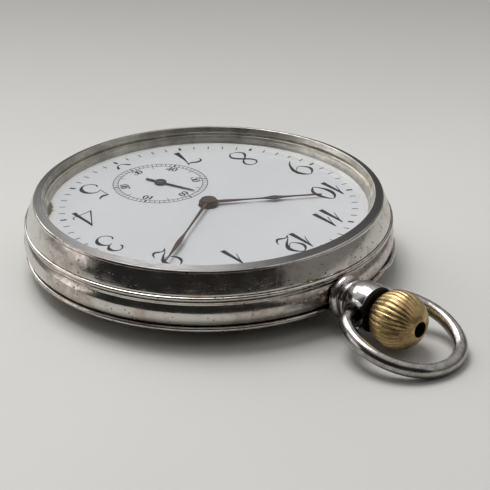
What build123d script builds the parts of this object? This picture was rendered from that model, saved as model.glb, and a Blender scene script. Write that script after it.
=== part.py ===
from build123d import *
import os
from math import atan2, cos, degrees, hypot, radians, sin, sqrt

os.makedirs("parts", exist_ok=True)

# Open face pocket watch lying on its back. Millimetres. The origin is the centre of the case axis
# on the resting plane, +Y points to twelve o'clock and the pendant, +Z out through the crystal.

# Case: radii are about the case axis, heights above the resting plane
back_face_r = 14.0
back_rim_r = 25.42
band_low = 2.95
band_top = 6.6
band_r = 25.6
bezel_low = 6.65
bezel_bead_r = 25.45
rim_outer_r = 24.15
rim_inner_r = 22.9
rim_top = 10.66
groove_r = 22.92
dial_window_r = 22.0
snap_lip_r = 23.2
snap_lip_top = 7.4
hinge_y = -25.75
hinge_knuckle_r = 0.6
hinge_pin_r = 0.25
hinge_bore_r = 0.28
knuckle_clear_r = 0.68
hinge_reach = 8
lid_hinge_y, lid_hinge_z = -23.45, 2.5
lid_knuckle_r, lid_pin_r, lid_bore_r, lid_clear_r = 0.4, 0.15, 0.18, 0.47

# Pendant, bow and crown share an axis along Y
pendant_z = 4.15
pendant_base_y = 25.62
pendant_end_y = 32.1
pendant_mouth_r = 2.0
pendant_bore_r = 1.2
boss_y = 30.6
boss_r = 1.85
boss_face_x = 3.2
boss_hole_r = 1.6
boss_floor_x = 2.3
bow_wire_r = 0.94
bow_pin_r = 0.6
bow_tilt = 13.6
sleeve_y = (26.0, 31.3)
sleeve_bore_r = 0.74
shank_r = 0.7
washer_y = (31.36, 31.62)
crown_y = 35.42
crown_r = 3.8
crown_hole_r = 1.05
crown_hole_floor = 37.2
crown_tip_y = 38.98
crown_gap = 0.12
stem_end_y = 36.4
flutes = 30

# Dial and hands
dial_top = 8.4
dial_thickness = 0.9
dial_r = 22.2
seconds_at = (0.0, -10.2)
hour_angle = 304.6
minute_angle = 58.8
second_angle = 344.0
centre_hole_r, seconds_hole_r = 1.45, 0.45
hour_level, minute_level, second_level = 8.76, 9.04, 8.52
dial_foot_r = 0.5

# Movement levels: plate on the dial side, bridges on the back side, the train between them
plate_top = 7.5
plate_low = 5.3
plate_r = 21.3
plate_flange_r = 22.2
flange_low = 6.2
bridge_top = 3.3
bridge_low = 2.35
bridge_r = 21.0
motion_low, motion_top = 6.75, 6.97
pocket_floor = 6.62
recess_top = 5.96
lever_level, lever_thickness = 5.66, 0.24
lever_post_r, lever_bore_r, lever_post_top = 0.3, 0.33, 6.35
winding_low = 1.96
cock_low = 1.9
hole_clear = 0.04
arbor_r, pivot_r, third_pivot_r, fourth_pivot_r = 0.4, 0.12, 0.15, 0.22
barrel_arbor_r = 0.75
screw_head_r = 0.9

# Wheel work: teeth and modules
centre_teeth, third_pinion_teeth, centre_module = 80, 10, 0.17
third_teeth, fourth_pinion_teeth, third_module = 75, 10, 0.14
fourth_teeth, escape_pinion_teeth, fourth_module = 80, 8, 0.12
barrel_teeth, centre_pinion_teeth, barrel_module = 80, 12, 0.21
cannon_teeth, minute_wheel_teeth, cannon_module = 12, 36, 0.15
minute_pinion_teeth, hour_wheel_teeth, hour_module = 10, 40, 0.144
setting_teeth = 84
crown_wheel_teeth, ratchet_teeth = 34, 66
winding_teeth, crown_face_teeth = 12, 22
escape_r = 3.3
balance_r = 7.2

# Arbor places seen from the dial side
centre_at = (0.0, 0.0)
third_at = (4.435, -6.233)
balance_at = (-10.6, -5.0)
crown_wheel_at = (0.0, 15.725)
barrel_distance = barrel_module * (barrel_teeth + centre_pinion_teeth) / 2
escape_distance = fourth_module * (fourth_teeth + escape_pinion_teeth) / 2
pallet_distance = 3.81
balance_clear_r = balance_r + 0.8
lever_pivot, lever_pin_at = (4.6, 19.2), (0.0, 19.9)
yoke_pivot, yoke_pin_at = (-4.8, 16.6), (0.0, 17.35)


def polar(radius, angle, centre=(0.0, 0.0)):
    """Point at a radius and an angle from +X about a centre."""
    return (centre[0] + radius * cos(radians(angle)), centre[1] + radius * sin(radians(angle)))


def heading(start, end):
    """Angle from +X of the line from one point to another."""
    return degrees(atan2(end[1] - start[1], end[0] - start[0]))


barrel_at = polar(barrel_distance, 52)
escape_at = polar(escape_distance, 195, seconds_at)
escape_line = heading(escape_at, balance_at)
pallet_at = polar(pallet_distance, escape_line, escape_at)
minute_wheel_at = (0.0, cannon_module * (cannon_teeth + minute_wheel_teeth) / 2)
setting_at = (0.0, minute_wheel_at[1] + cannon_module * (minute_wheel_teeth + setting_teeth) / 2)
winding_distance = hypot(barrel_at[0] - crown_wheel_at[0], barrel_at[1] - crown_wheel_at[1])
winding_module = 2 * winding_distance / (crown_wheel_teeth + ratchet_teeth)
stem_plane = Plane(origin=(0, 0, pendant_z), x_dir=(0, 1, 0), z_dir=(1, 0, 0))
stem_axis = Axis((0, 0, pendant_z), (0, 1, 0))
FROM_BASE = (Align.CENTER, Align.CENTER, Align.MIN)


def post(at, low, high, radius, mode=Mode.ADD):
    """Upright cylinder between two heights in the active part."""
    with Locations((at[0], at[1], low)):
        Cylinder(radius, high - low, align=FROM_BASE, mode=mode)


def bore(at, low, high, radius):
    """Upright round hole between two heights in the active part."""
    post(at, low, high, radius, Mode.SUBTRACT)


def block(x, y, z, mode=Mode.ADD):
    """Box from its low and high limits on each axis in the active part."""
    with Locations(((x[0] + x[1]) / 2, (y[0] + y[1]) / 2, (z[0] + z[1]) / 2)):
        Box(x[1] - x[0], y[1] - y[0], z[1] - z[0], mode=mode)


def shaft(y_low, y_high, radius, mode=Mode.ADD, x=0.0, z=pendant_z):
    """Cylinder along Y between two places in the active part."""
    with Locations((x, (y_low + y_high) / 2, z)):
        Cylinder(radius, y_high - y_low, rotation=(90, 0, 0), mode=mode)


def cross_pin(x_low, x_high, radius, y, z, mode=Mode.ADD):
    """Cylinder along X between two places in the active part."""
    with Locations(((x_low + x_high) / 2, y, z)):
        Cylinder(radius, x_high - x_low, rotation=(0, 90, 0), mode=mode)


def turned(outline, mode=Mode.ADD):
    """Solid of revolution about the case axis from a closed (radius, height) outline."""
    with BuildSketch(Plane.XZ) as section:
        with BuildLine():
            Polyline(*outline, close=True)
        make_face()
    revolve(section.sketch, axis=Axis.Z, mode=mode)


def tooth_points(teeth, module, phase, tip=0.85, root=1.2):
    """Outline points of straight-flanked teeth; one tooth is centred on the phase angle."""
    pitch_r = teeth * module / 2
    shape = ((pitch_r - root * module, -0.27), (pitch_r + tip * module, -0.12))
    shape += tuple((radius, -share) for radius, share in reversed(shape))
    return [
        polar(radius, phase + (number + share) * 360 / teeth)
        for number in range(teeth)
        for radius, share in shape
    ]


def toothed(at, low, high, teeth, module, phase):
    """Toothed disc between two heights in the active part."""
    with BuildSketch(Plane((at[0], at[1], low))) as outline:
        Polygon(*tooth_points(teeth, module, phase), align=None)
    extrude(outline.sketch, amount=high - low)


def crossings(at, low, high, hub_r, rim_r, spokes, width, phase=0.0):
    """Openings between the spokes of a wheel in the active part."""
    with BuildSketch(Plane((at[0], at[1], low))) as opening:
        Circle(rim_r)
        Circle(hub_r, mode=Mode.SUBTRACT)
        with PolarLocations(rim_r / 2, spokes, start_angle=phase):
            Rectangle(rim_r + 1, width, mode=Mode.SUBTRACT)
    extrude(opening.sketch, amount=high - low, mode=Mode.SUBTRACT)


def gap_phase(teeth, angle):
    """Phase that leaves a gap between two teeth at an angle."""
    return angle + 180 / teeth


def knuckles(spans, y, z, radius, bore_r):
    """Hinge knuckles along X, with the pin's hole through them, in the active part."""
    for low, high in spans:
        cross_pin(low, high, radius, y, z)
    cross_pin(-hinge_reach, hinge_reach, bore_r, y, z, Mode.SUBTRACT)


outer_knuckles = ((-3.6, -1.55), (1.55, 3.6))
inner_knuckles = ((-1.5, 1.5),)
centre_gap = (-1.55, 1.55)

# Case band: a turned ring with the snap lip for the bezel and a ledge for the movement
with BuildPart() as case_band:
    with BuildSketch(Plane.XZ) as band_section:
        with BuildLine():
            Polyline(
                (24.9, band_low),
                (22.4, band_low),
                (22.4, 5.35),
                (21.45, 5.35),
                (21.45, flange_low),
                (22.3, flange_low),
                (22.3, snap_lip_top),
                (23.05, snap_lip_top),
                (snap_lip_r, 7.25),
                (snap_lip_r, band_top),
                (25.0, band_top),
            )
            ThreePointArc((25.0, band_top), (25.27, 6.34), (25.06, 6.1))
            Line((25.06, 6.1), (25.06, 5.95))
            ThreePointArc((25.06, 5.95), (band_r, 4.6), (25.12, 3.15))
            Line((25.12, 3.15), (24.9, band_low))
        make_face()
    revolve(band_section.sketch, axis=Axis.Z)
    block((-1.5, 1.5), (hinge_y, -25.2), (5.9, 6.55))
    block((-1.5, 1.5), (hinge_y, -25.0), (2.98, 3.5))
    block((-1.5, 1.5), (-23.6, -23.2), (2.5, 3.1))
    knuckles(inner_knuckles, hinge_y, bezel_low, hinge_knuckle_r, hinge_bore_r)
    knuckles(inner_knuckles, hinge_y, band_low, hinge_knuckle_r, hinge_bore_r)
    knuckles(inner_knuckles, lid_hinge_y, lid_hinge_z, lid_knuckle_r, lid_bore_r)
    shaft(20, 27, 1.1, Mode.SUBTRACT)
    for side in (-1, 1):
        for spot_z in (bezel_low, band_low):
            cross_pin(side * 2.57 - 1.07, side * 2.57 + 1.07, knuckle_clear_r, hinge_y, spot_z, Mode.SUBTRACT)
case_band.part.label = "case_band"
export_step(case_band.part, "parts/case_band.step")

# Bezel: convex outside between the rim and the seam bead, sloping polished wall inside
with BuildPart() as bezel:
    with BuildSketch(Plane.XZ) as bezel_section:
        with BuildLine():
            Polyline(
                (25.05, bezel_low),
                (23.32, bezel_low),
                (23.32, 7.5),
                (22.35, 7.5),
                (22.35, 8.46),
                (dial_window_r, 8.46),
                (dial_window_r + 0.42, 9.48),
                (groove_r, 9.6),
                (groove_r, 9.84),
                (22.62, 9.94),
                (rim_inner_r, rim_top - 0.04),
                (rim_inner_r + 0.06, rim_top),
                (23.8, 10.36),
            )
            ThreePointArc((23.8, 10.36), (24.05, 10.23), (rim_outer_r, 10.0))
            ThreePointArc((rim_outer_r, 10.0), (24.76, 8.7), (25.12, 7.3))
            Line((25.12, 7.3), (25.08, 7.16))
            ThreePointArc((25.08, 7.16), (bezel_bead_r, 6.9), (25.05, bezel_low))
        make_face()
    revolve(bezel_section.sketch, axis=Axis.Z)
    for low, high in outer_knuckles:
        block((low, high), (hinge_y, -24.6), (6.7, 7.2))
        cross_pin(low, high, hinge_knuckle_r, hinge_y, bezel_low)
    cross_pin(-hinge_reach, hinge_reach, hinge_bore_r, hinge_y, bezel_low, Mode.SUBTRACT)
    cross_pin(*centre_gap, knuckle_clear_r, hinge_y, bezel_low, Mode.SUBTRACT)
bezel.part.label = "bezel"
export_step(bezel.part, "parts/bezel.step")

# Crystal: flat polished glass with a bevelled edge in the bezel's groove
with BuildPart() as crystal:
    turned(
        (
            (0, 9.5),
            (22.4, 9.5),
            (groove_r - 0.06, 9.62),
            (groove_r - 0.06, 9.8),
            (22.56, 9.9),
            (22.2, 10.12),
            (0, 10.2),
        )
    )
crystal.part.label = "crystal"
export_step(crystal.part, "parts/crystal.step")

# Back cover: shallow dish with a flat centre, a rim bead and a lifting lip near ten o'clock
with BuildPart() as back_cover:
    with BuildSketch(Plane.XZ) as back_section:
        with BuildLine():
            Polyline((0, 0), (back_face_r, 0))
            ThreePointArc((back_face_r, 0), (19.2, 0.34), (22.4, 0.95))
            ThreePointArc((22.4, 0.95), (24.0, 1.55), (25.0, 2.25))
            ThreePointArc((25.0, 2.25), (back_rim_r, 2.62), (25.1, 2.9))
            Polyline((25.1, 2.9), (24.3, 2.9), (24.1, 2.3))
            ThreePointArc((24.1, 2.3), (23.1, 1.7), (21.6, 1.18))
            ThreePointArc((21.6, 1.18), (18.4, 0.78), (back_face_r, 0.6))
            Polyline((back_face_r, 0.6), (0, 0.6), (0, 0))
        make_face()
    revolve(back_section.sketch, axis=Axis.Z)
    with BuildSketch(Plane.XZ.rotated((0, 0, 113))) as lip_section:
        with BuildLine():
            Polyline((25.35, 2.9), (24.9, 2.88), (24.9, 2.3), (25.5, 2.36))
            ThreePointArc((25.5, 2.36), (25.88, 2.68), (25.6, 3.02))
            Line((25.6, 3.02), (25.35, 2.9))
        make_face()
    revolve(lip_section.sketch, axis=Axis.Z, revolution_arc=48)
    for low, high in outer_knuckles:
        block((low, high), (hinge_y, -24.6), (2.4, 2.88))
        cross_pin(low, high, hinge_knuckle_r, hinge_y, band_low)
    cross_pin(-hinge_reach, hinge_reach, hinge_bore_r, hinge_y, band_low, Mode.SUBTRACT)
    cross_pin(*centre_gap, knuckle_clear_r, hinge_y, band_low, Mode.SUBTRACT)
back_cover.part.label = "back_cover"
export_step(back_cover.part, "parts/back_cover.step")

# Dust cover: thin inner lid between the movement and the back cover
with BuildPart() as dust_cover:
    turned(
        (
            (0, 1.3),
            (21.2, 1.3),
            (22.3, 2.15),
            (22.95, 2.45),
            (22.95, 2.9),
            (22.5, 2.9),
            (21.0, 1.65),
            (0, 1.65),
        )
    )
    for low, high in outer_knuckles:
        block((low, high), (lid_hinge_y, -22.6), (2.35, 2.7))
        cross_pin(low, high, lid_knuckle_r, lid_hinge_y, lid_hinge_z)
    cross_pin(-hinge_reach, hinge_reach, lid_bore_r, lid_hinge_y, lid_hinge_z, Mode.SUBTRACT)
    cross_pin(*centre_gap, lid_clear_r, lid_hinge_y, lid_hinge_z, Mode.SUBTRACT)
dust_cover.part.label = "dust_cover"
export_step(dust_cover.part, "parts/dust_cover.step")

# Hinge pins of the bezel, the back cover and the dust cover
with BuildPart() as hinge_pins:
    for pin_y, pin_z, pin_r in (
        (hinge_y, bezel_low, hinge_pin_r),
        (hinge_y, band_low, hinge_pin_r),
        (lid_hinge_y, lid_hinge_z, lid_pin_r),
    ):
        cross_pin(-3.55, 3.55, pin_r, pin_y, pin_z)
hinge_pins.part.label = "hinge_pins"
export_step(hinge_pins.part, "parts/hinge_pins.step")

# Pendant: collar, thin bead and barrel-shaped tube with a drilled boss each side for the bow
with BuildPart() as pendant:
    with BuildSketch(stem_plane) as pendant_section:
        with BuildLine():
            Polyline((pendant_base_y, 2.35), (pendant_base_y, 1.1), (22.6, 1.1), (22.6, 0.75))
            Polyline((22.6, 0.75), (26.0, 0.75), (sleeve_y[0], pendant_bore_r), (sleeve_y[1], pendant_bore_r))
            Line((sleeve_y[1], pendant_bore_r), (sleeve_y[1], pendant_mouth_r))
            Line((sleeve_y[1], pendant_mouth_r), (pendant_end_y, pendant_mouth_r))
            Line((pendant_end_y, pendant_mouth_r), (pendant_end_y, 2.9))
            ThreePointArc((pendant_end_y, 2.9), (30.5, 3.18), (28.7, 2.98))
            ThreePointArc((28.7, 2.98), (28.5, 2.85), (28.45, 2.6))
            Polyline((28.45, 2.6), (28.4, 2.3), (28.1, 2.3))
            ThreePointArc((28.1, 2.3), (27.78, 2.66), (27.4, 2.36))
            Line((27.4, 2.36), (27.2, 2.36))
            ThreePointArc((27.2, 2.36), (26.5, 2.96), (pendant_base_y, 2.35))
        make_face()
    revolve(pendant_section.sketch, axis=stem_axis)
    for side in (-1, 1):
        cross_pin(*sorted((side * 1.6, side * boss_face_x)), boss_r, boss_y, pendant_z)
        cross_pin(*sorted((side * boss_floor_x, side * 4)), boss_hole_r, boss_y, pendant_z, Mode.SUBTRACT)
        cross_pin(*sorted((side * 1.0, side * 3)), bow_pin_r + 0.05, boss_y, pendant_z, Mode.SUBTRACT)
    shaft(*sleeve_y, pendant_bore_r, Mode.SUBTRACT)
    shaft(sleeve_y[1], 33, pendant_mouth_r, Mode.SUBTRACT)
    with Locations((0, crown_y, pendant_z)):
        Sphere(crown_r + crown_gap, mode=Mode.SUBTRACT)
pendant.part.label = "pendant"
export_step(pendant.part, "parts/pendant.step")

# Sleeve that guides the stem inside the pendant
with BuildPart() as stem_sleeve:
    shaft(*sleeve_y, pendant_bore_r)
    shaft(*sleeve_y, sleeve_bore_r, Mode.SUBTRACT)
stem_sleeve.part.label = "stem_sleeve"
export_step(stem_sleeve.part, "parts/stem_sleeve.step")

# Bow: round wire bent in tangent arcs, in a plane tilted below the pendant axis
bow_plane = Plane(origin=(0, boss_y, pendant_z), x_dir=(1, 0, 0), z_dir=(0, 0, 1)).rotated((-bow_tilt, 0, 0))
end_arc_r, side_arc_r, foot_arc_r = 6.3, 8.86, 2.0
bow_half_width, bow_middle = 6.77, 5.78
side_centre = (bow_half_width - side_arc_r, bow_middle)
end_rise = sqrt((side_arc_r - end_arc_r) ** 2 - side_centre[0] ** 2)
end_centre = (0, bow_middle + end_rise)
foot_run = sqrt((side_arc_r - foot_arc_r) ** 2 - (bow_middle - foot_arc_r) ** 2)
foot_centre = (side_centre[0] + foot_run, foot_arc_r)
side_to_end = heading(side_centre, end_centre)
side_to_foot = heading(side_centre, foot_centre)
with BuildPart() as bow:
    with BuildLine(bow_plane) as half_wire:
        Line((boss_floor_x + 0.05, 0), (foot_centre[0], 0))
        CenterArc(foot_centre, foot_arc_r, -90, 90 + side_to_foot)
        CenterArc(side_centre, side_arc_r, side_to_foot, side_to_end - side_to_foot)
        CenterArc(end_centre, end_arc_r, side_to_end, 90 - side_to_end)
    wire_start = Plane(origin=half_wire.line @ 0, x_dir=(0, 0, 1), z_dir=(1, 0, 0))
    with BuildSketch(wire_start) as wire_section:
        Circle(bow_wire_r)
    sweep(wire_section.sketch, path=half_wire.line)
    mirror(about=Plane.YZ)
    cross_pin(1.3, boss_floor_x + 0.1, bow_pin_r, boss_y, pendant_z)
    cross_pin(-boss_floor_x - 0.1, -1.3, bow_pin_r, boss_y, pendant_z)
bow.part.label = "bow"
export_step(bow.part, "parts/bow.step")

# Crown: fluted ball with a neck in the pendant mouth and a deep hole in its end
with BuildPart() as crown:
    with BuildSketch(Plane.XZ.offset(-crown_y + crown_r)) as flute_section:
        with Locations((0, pendant_z)):
            Circle(crown_r + 0.2)
            with PolarLocations(crown_r + 0.12, flutes):
                Circle(0.26, mode=Mode.SUBTRACT)
    extrude(flute_section.sketch, amount=-2 * crown_r)
    with Locations((0, crown_y, pendant_z)):
        Sphere(crown_r, rotation=(90, 0, 0), mode=Mode.INTERSECT)
    shaft(31.0, 31.7, 5, Mode.SUBTRACT)
    shaft(crown_tip_y, 40, 5, Mode.SUBTRACT)
    shaft(crown_hole_floor, 40, crown_hole_r, Mode.SUBTRACT)
    shaft(31.0, stem_end_y, shank_r, Mode.SUBTRACT)
crown.part.label = "crown"
export_step(crown.part, "parts/crown.step")

# Screw sunk in the crown's end hole
with BuildPart() as crown_screw:
    shaft(crown_hole_floor, 37.9, 0.95)
    block((-0.15, 0.15), (37.65, 38.2), (pendant_z - 1, pendant_z + 1), Mode.SUBTRACT)
crown_screw.part.label = "crown_screw"
export_step(crown_screw.part, "parts/crown_screw.step")

square_half = 0.475
square_hole_half = 0.52

# Winding stem: pilot, square for the clutch, journal, groove for the setting lever, shank
with BuildPart() as winding_stem:
    shaft(14.2, 15.3, arbor_r)
    block((-square_half, square_half), (15.3, 18.15), (pendant_z - square_half, pendant_z + square_half))
    shaft(18.15, 19.6, shank_r)
    shaft(19.6, 20.2, 0.45)
    shaft(20.2, stem_end_y, shank_r)
winding_stem.part.label = "winding_stem"
export_step(winding_stem.part, "parts/winding_stem.step")

# Dust washer that travels with the crown in the pendant mouth
with BuildPart() as dust_washer:
    shaft(*washer_y, pendant_mouth_r - 0.1)
    shaft(*washer_y, shank_r + 0.06, Mode.SUBTRACT)
dust_washer.part.label = "dust_washer"
export_step(dust_washer.part, "parts/dust_washer.step")

# Winding pinion, loose on the stem, with ratchet teeth towards the clutch
stem_facing = Plane(origin=(0, 0, pendant_z), x_dir=(1, 0, 0), z_dir=(0, 1, 0))
with BuildPart() as winding_pinion:
    with BuildSketch(stem_facing.offset(18.5)) as pinion_outline:
        Polygon(*tooth_points(winding_teeth, 0.275, 105, 0.7, 0.9), align=None)
    extrude(pinion_outline.sketch, amount=0.8)
    shaft(18.35, 18.55, 1.3)
    shaft(18, 20, sleeve_bore_r, Mode.SUBTRACT)
winding_pinion.part.label = "winding_pinion"
export_step(winding_pinion.part, "parts/winding_pinion.step")

# Clutch wheel, square bored, sliding on the stem, grooved for the yoke
with BuildPart() as clutch_wheel:
    with BuildSketch(stem_facing.offset(16.55)) as clutch_outline:
        Polygon(*tooth_points(14, 0.19, 0, 0.6, 0.9), align=None)
    extrude(clutch_outline.sketch, amount=1.55)
    with BuildSketch(stem_facing.offset(17.1)) as clutch_groove:
        Circle(1.6)
        Circle(1.0, mode=Mode.SUBTRACT)
    extrude(clutch_groove.sketch, amount=0.5, mode=Mode.SUBTRACT)
    clutch_hole_z = (pendant_z - square_hole_half, pendant_z + square_hole_half)
    block((-square_hole_half, square_hole_half), (16, 19), clutch_hole_z, Mode.SUBTRACT)
clutch_wheel.part.label = "clutch_wheel"
export_step(clutch_wheel.part, "parts/clutch_wheel.step")

# Dial: enamelled plate with the centre hole, the seconds hole and its rounded edge
with BuildPart() as dial:
    post(centre_at, dial_top - dial_thickness, dial_top, dial_r)
    bore(centre_at, plate_top - 1, dial_top + 1, centre_hole_r)
    bore(seconds_at, plate_top - 1, dial_top + 1, seconds_hole_r)
dial.part.label = "dial"
export_step(dial.part, "parts/dial.step")

# Dial feet: copper pegs under the dial, held in the plate
dial_feet_at = (polar(19.6, 25), polar(19.6, 155), polar(19.6, 280))
with BuildPart() as dial_feet:
    for foot_at in dial_feet_at:
        post(foot_at, flange_low + 0.3, plate_top, dial_foot_r)
dial_feet.part.label = "dial_feet"
export_step(dial_feet.part, "parts/dial_feet.step")


def hand_outline(half_widths, angle, level):
    """Closed outline of a hand from (distance, half width) pairs, pointing along a clock angle."""
    aim = Plane(origin=(0, 0, level), z_dir=(0, 0, 1)).rotated((0, 0, 90 - angle))
    with BuildSketch(aim) as outline:
        with BuildLine():
            right = Spline(*half_widths)
            left = Spline(*[(distance, -half) for distance, half in half_widths])
            Line(right @ 0, left @ 0)
            Line(right @ 1, left @ 1)
        make_face()
    return outline.sketch


# Hour hand: thin stem, pear-shaped swell and long tip on a round boss
hour_shape = (
    (0.9, 0.3),
    (4.2, 0.19),
    (7.6, 0.16),
    (8.5, 0.36),
    (9.15, 0.52),
    (9.9, 0.36),
    (11.1, 0.16),
    (13.4, 0.12),
    (15.9, 0.05),
)
with BuildPart() as hour_hand:
    extrude(hand_outline(hour_shape, hour_angle, hour_level), amount=0.14)
    post(centre_at, 8.64, 8.95, 1.34)
    bore(centre_at, 8, 10, 1.1)
hour_hand.part.label = "hour_hand"
export_step(hour_hand.part, "parts/hour_hand.step")

# Minute hand: longer and slimmer, with a closed boss over the cannon pinion
minute_shape = (
    (0.8, 0.24),
    (4.0, 0.19),
    (8.5, 0.13),
    (11.2, 0.15),
    (12.8, 0.3),
    (13.8, 0.35),
    (15.2, 0.26),
    (17.2, 0.12),
    (19.8, 0.05),
)
with BuildPart() as minute_hand:
    extrude(hand_outline(minute_shape, minute_angle, minute_level), amount=0.13)
    post(centre_at, 9.0, 9.28, 1.08)
    bore(centre_at, 8, 9.15, 0.62)
minute_hand.part.label = "minute_hand"
export_step(minute_hand.part, "parts/minute_hand.step")

# Seconds hand: tapered needle, round boss and square tail, low enough to pass under the hour hand
second_shape = ((-2.4, 0.2), (-0.6, 0.19), (0.6, 0.2), (2.6, 0.15), (5.0, 0.1), (5.7, 0.05))
second_boss_r, second_boss_height, second_needle_rise = 0.87, 0.2, 0.04
with BuildPart() as seconds_hand:
    with BuildSketch() as needle:
        with BuildLine():
            needle_right = Polyline(*second_shape)
            needle_left = Polyline(*[(distance, -half) for distance, half in second_shape])
            Line(needle_right @ 0, needle_left @ 0)
            Line(needle_right @ 1, needle_left @ 1)
        make_face()
    extrude(amount=0.1)
    with Locations((0, 0, -second_needle_rise)):
        Cylinder(second_boss_r, second_boss_height, align=FROM_BASE)
    Cylinder(fourth_pivot_r, 1, mode=Mode.SUBTRACT)
seconds_place = Location((seconds_at[0], seconds_at[1], second_level), (0, 0, 90 - second_angle))
seconds_piece = seconds_hand.part.moved(seconds_place)
seconds_piece.label = "seconds_hand"
export_step(seconds_piece, "parts/seconds_hand.step")

# Cannon pinion: sleeve for the minute hand, friction fit over the centre arbor
with BuildPart() as cannon_pinion:
    toothed(centre_at, motion_low, 7.05, cannon_teeth, cannon_module, 90)
    post(centre_at, motion_low, 9.15, 0.62)
    bore(centre_at, 6, 9.0, 0.42)
cannon_pinion.part.label = "cannon_pinion"
export_step(cannon_pinion.part, "parts/cannon_pinion.step")

# Hour wheel: tube for the hour hand over the cannon pinion
with BuildPart() as hour_wheel:
    toothed(centre_at, 7.12, 7.32, hour_wheel_teeth, hour_module, 90)
    post(centre_at, 7.12, 8.95, 1.1)
    bore(centre_at, 7, 9, 0.68)
hour_wheel.part.label = "hour_wheel"
export_step(hour_wheel.part, "parts/hour_wheel.step")

# Minute wheel and pinion on a post of the plate
with BuildPart() as minute_wheel:
    wheel_phase = gap_phase(minute_wheel_teeth, 270)
    toothed(minute_wheel_at, motion_low, motion_top, minute_wheel_teeth, cannon_module, wheel_phase)
    pinion_phase = gap_phase(minute_pinion_teeth, 270)
    toothed(minute_wheel_at, motion_top, 7.36, minute_pinion_teeth, hour_module, pinion_phase)
    bore(minute_wheel_at, 6, 8, 0.34)
minute_wheel.part.label = "minute_wheel"
export_step(minute_wheel.part, "parts/minute_wheel.step")

# Setting wheel between the clutch and the minute wheel
with BuildPart() as setting_wheel:
    toothed(setting_at, motion_low, motion_top, setting_teeth, cannon_module, 270)
    crossings(setting_at, 6.7, 7.0, 1.4, 5.3, 5, 0.8)
    bore(setting_at, 6, 8, 0.54)
setting_wheel.part.label = "setting_wheel"
export_step(setting_wheel.part, "parts/setting_wheel.step")

# Main plate: flanged disc, recessed both sides for the wheels, with a block for the stem
plate_jewels_at = (third_at, seconds_at, escape_at, pallet_at, balance_at)
pillars_at = tuple(polar(19.7, pillar_angle) for pillar_angle in (8, 100, 165, 250, 300, 345))
jewel_r = 0.8
with BuildPart() as main_plate:
    post(centre_at, plate_low, plate_top, plate_r)
    post(centre_at, flange_low, plate_top, plate_flange_r)
    block((-2.6, 0.0), (19.45, 20.95), (bridge_top + 0.05, plate_low))
    block((-0.9, 0.6), (14.6, 15.25), (3.5, plate_low))
    for pillar_at in pillars_at:
        post(pillar_at, bridge_top, plate_low, 1.15)
    bore(centre_at, plate_low - 1, 5.72, 7.3)
    bore(third_at, plate_low - 1, 5.72, 1.35)
    bore(centre_at, pocket_floor, 8, 3.3)
    bore(minute_wheel_at, pocket_floor, 8, 3.05)
    bore(setting_at, pocket_floor, 8, 6.6)
    post(minute_wheel_at, 6.5, 7.42, 0.3)
    post(setting_at, 6.5, 7.42, 0.5)
    bore(centre_at, 5, 8, arbor_r + hole_clear)
    for jewel_at in plate_jewels_at:
        bore(jewel_at, plate_low - 0.01, 5.9 if jewel_at == third_at else 5.8, jewel_r)
    bore(third_at, plate_low - 0.01, 6.1, jewel_r)
    bore(seconds_at, plate_low - 1, 8, 0.42)
    bore(barrel_at, plate_low - 1, 5.95, barrel_arbor_r + 0.02)
    for foot_at in dial_feet_at:
        bore(foot_at, flange_low - 1.2, 8, dial_foot_r)
    shaft(14.4, 15.4, 0.43, Mode.SUBTRACT)
    shaft(15.25, 22, 0.76, Mode.SUBTRACT)
    block((-0.35, 0.35), (19.45, 21.0), (4.6, 5.5), Mode.SUBTRACT)
    block((-2.0, 2.0), (15.3, 19.4), (plate_low - 1, 6.2), Mode.SUBTRACT)
    block((-0.6, 5.9), (18.0, 22.0), (plate_low - 0.01, recess_top), Mode.SUBTRACT)
    block((-5.9, 0.6), (15.3, 18.4), (plate_low - 0.01, recess_top), Mode.SUBTRACT)
    bore(lever_pivot, plate_low, lever_post_top + 0.05, lever_bore_r)
    bore(yoke_pivot, plate_low, lever_post_top + 0.05, lever_bore_r)
main_plate.part.label = "main_plate"
export_step(main_plate.part, "parts/main_plate.step")

# Centre wheel with its pinion and long arbor
with BuildPart() as centre_wheel:
    toothed(centre_at, 5.38, 5.62, centre_teeth, centre_module, heading(centre_at, third_at))
    crossings(centre_at, 5.3, 5.7, 1.3, 5.9, 5, 0.7)
    toothed(centre_at, 3.38, 3.92, centre_pinion_teeth, barrel_module, gap_phase(centre_pinion_teeth, 52))
    post(centre_at, 2.45, 8.9, arbor_r)
centre_wheel.part.label = "centre_wheel"
export_step(centre_wheel.part, "parts/centre_wheel.step")

# Third wheel and pinion
to_centre = heading(third_at, centre_at)
to_fourth = heading(third_at, seconds_at)
with BuildPart() as third_wheel:
    toothed(third_at, 4.0, 4.18, third_teeth, third_module, to_fourth)
    crossings(third_at, 3.9, 4.3, 1.1, 4.55, 5, 0.6)
    toothed(third_at, 5.3, 5.68, third_pinion_teeth, centre_module, gap_phase(third_pinion_teeth, to_centre))
    post(third_at, 3.4, 5.68, 0.32)
    post(third_at, 2.6, 6.0, third_pivot_r)
third_wheel.part.label = "third_wheel"
export_step(third_wheel.part, "parts/third_wheel.step")

# Fourth wheel and pinion; its long pivot carries the seconds hand
to_third = heading(seconds_at, third_at)
to_escape = heading(seconds_at, escape_at)
with BuildPart() as fourth_wheel:
    toothed(seconds_at, 3.5, 3.66, fourth_teeth, fourth_module, to_escape)
    crossings(seconds_at, 3.4, 3.7, 0.95, 4.1, 5, 0.5)
    toothed(seconds_at, 3.9, 4.5, fourth_pinion_teeth, third_module, gap_phase(fourth_pinion_teeth, to_third))
    post(seconds_at, 3.4, 5.25, 0.3)
    post(seconds_at, 2.6, second_level + 0.14, fourth_pivot_r)
fourth_wheel.part.label = "fourth_wheel"
export_step(fourth_wheel.part, "parts/fourth_wheel.step")

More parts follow.
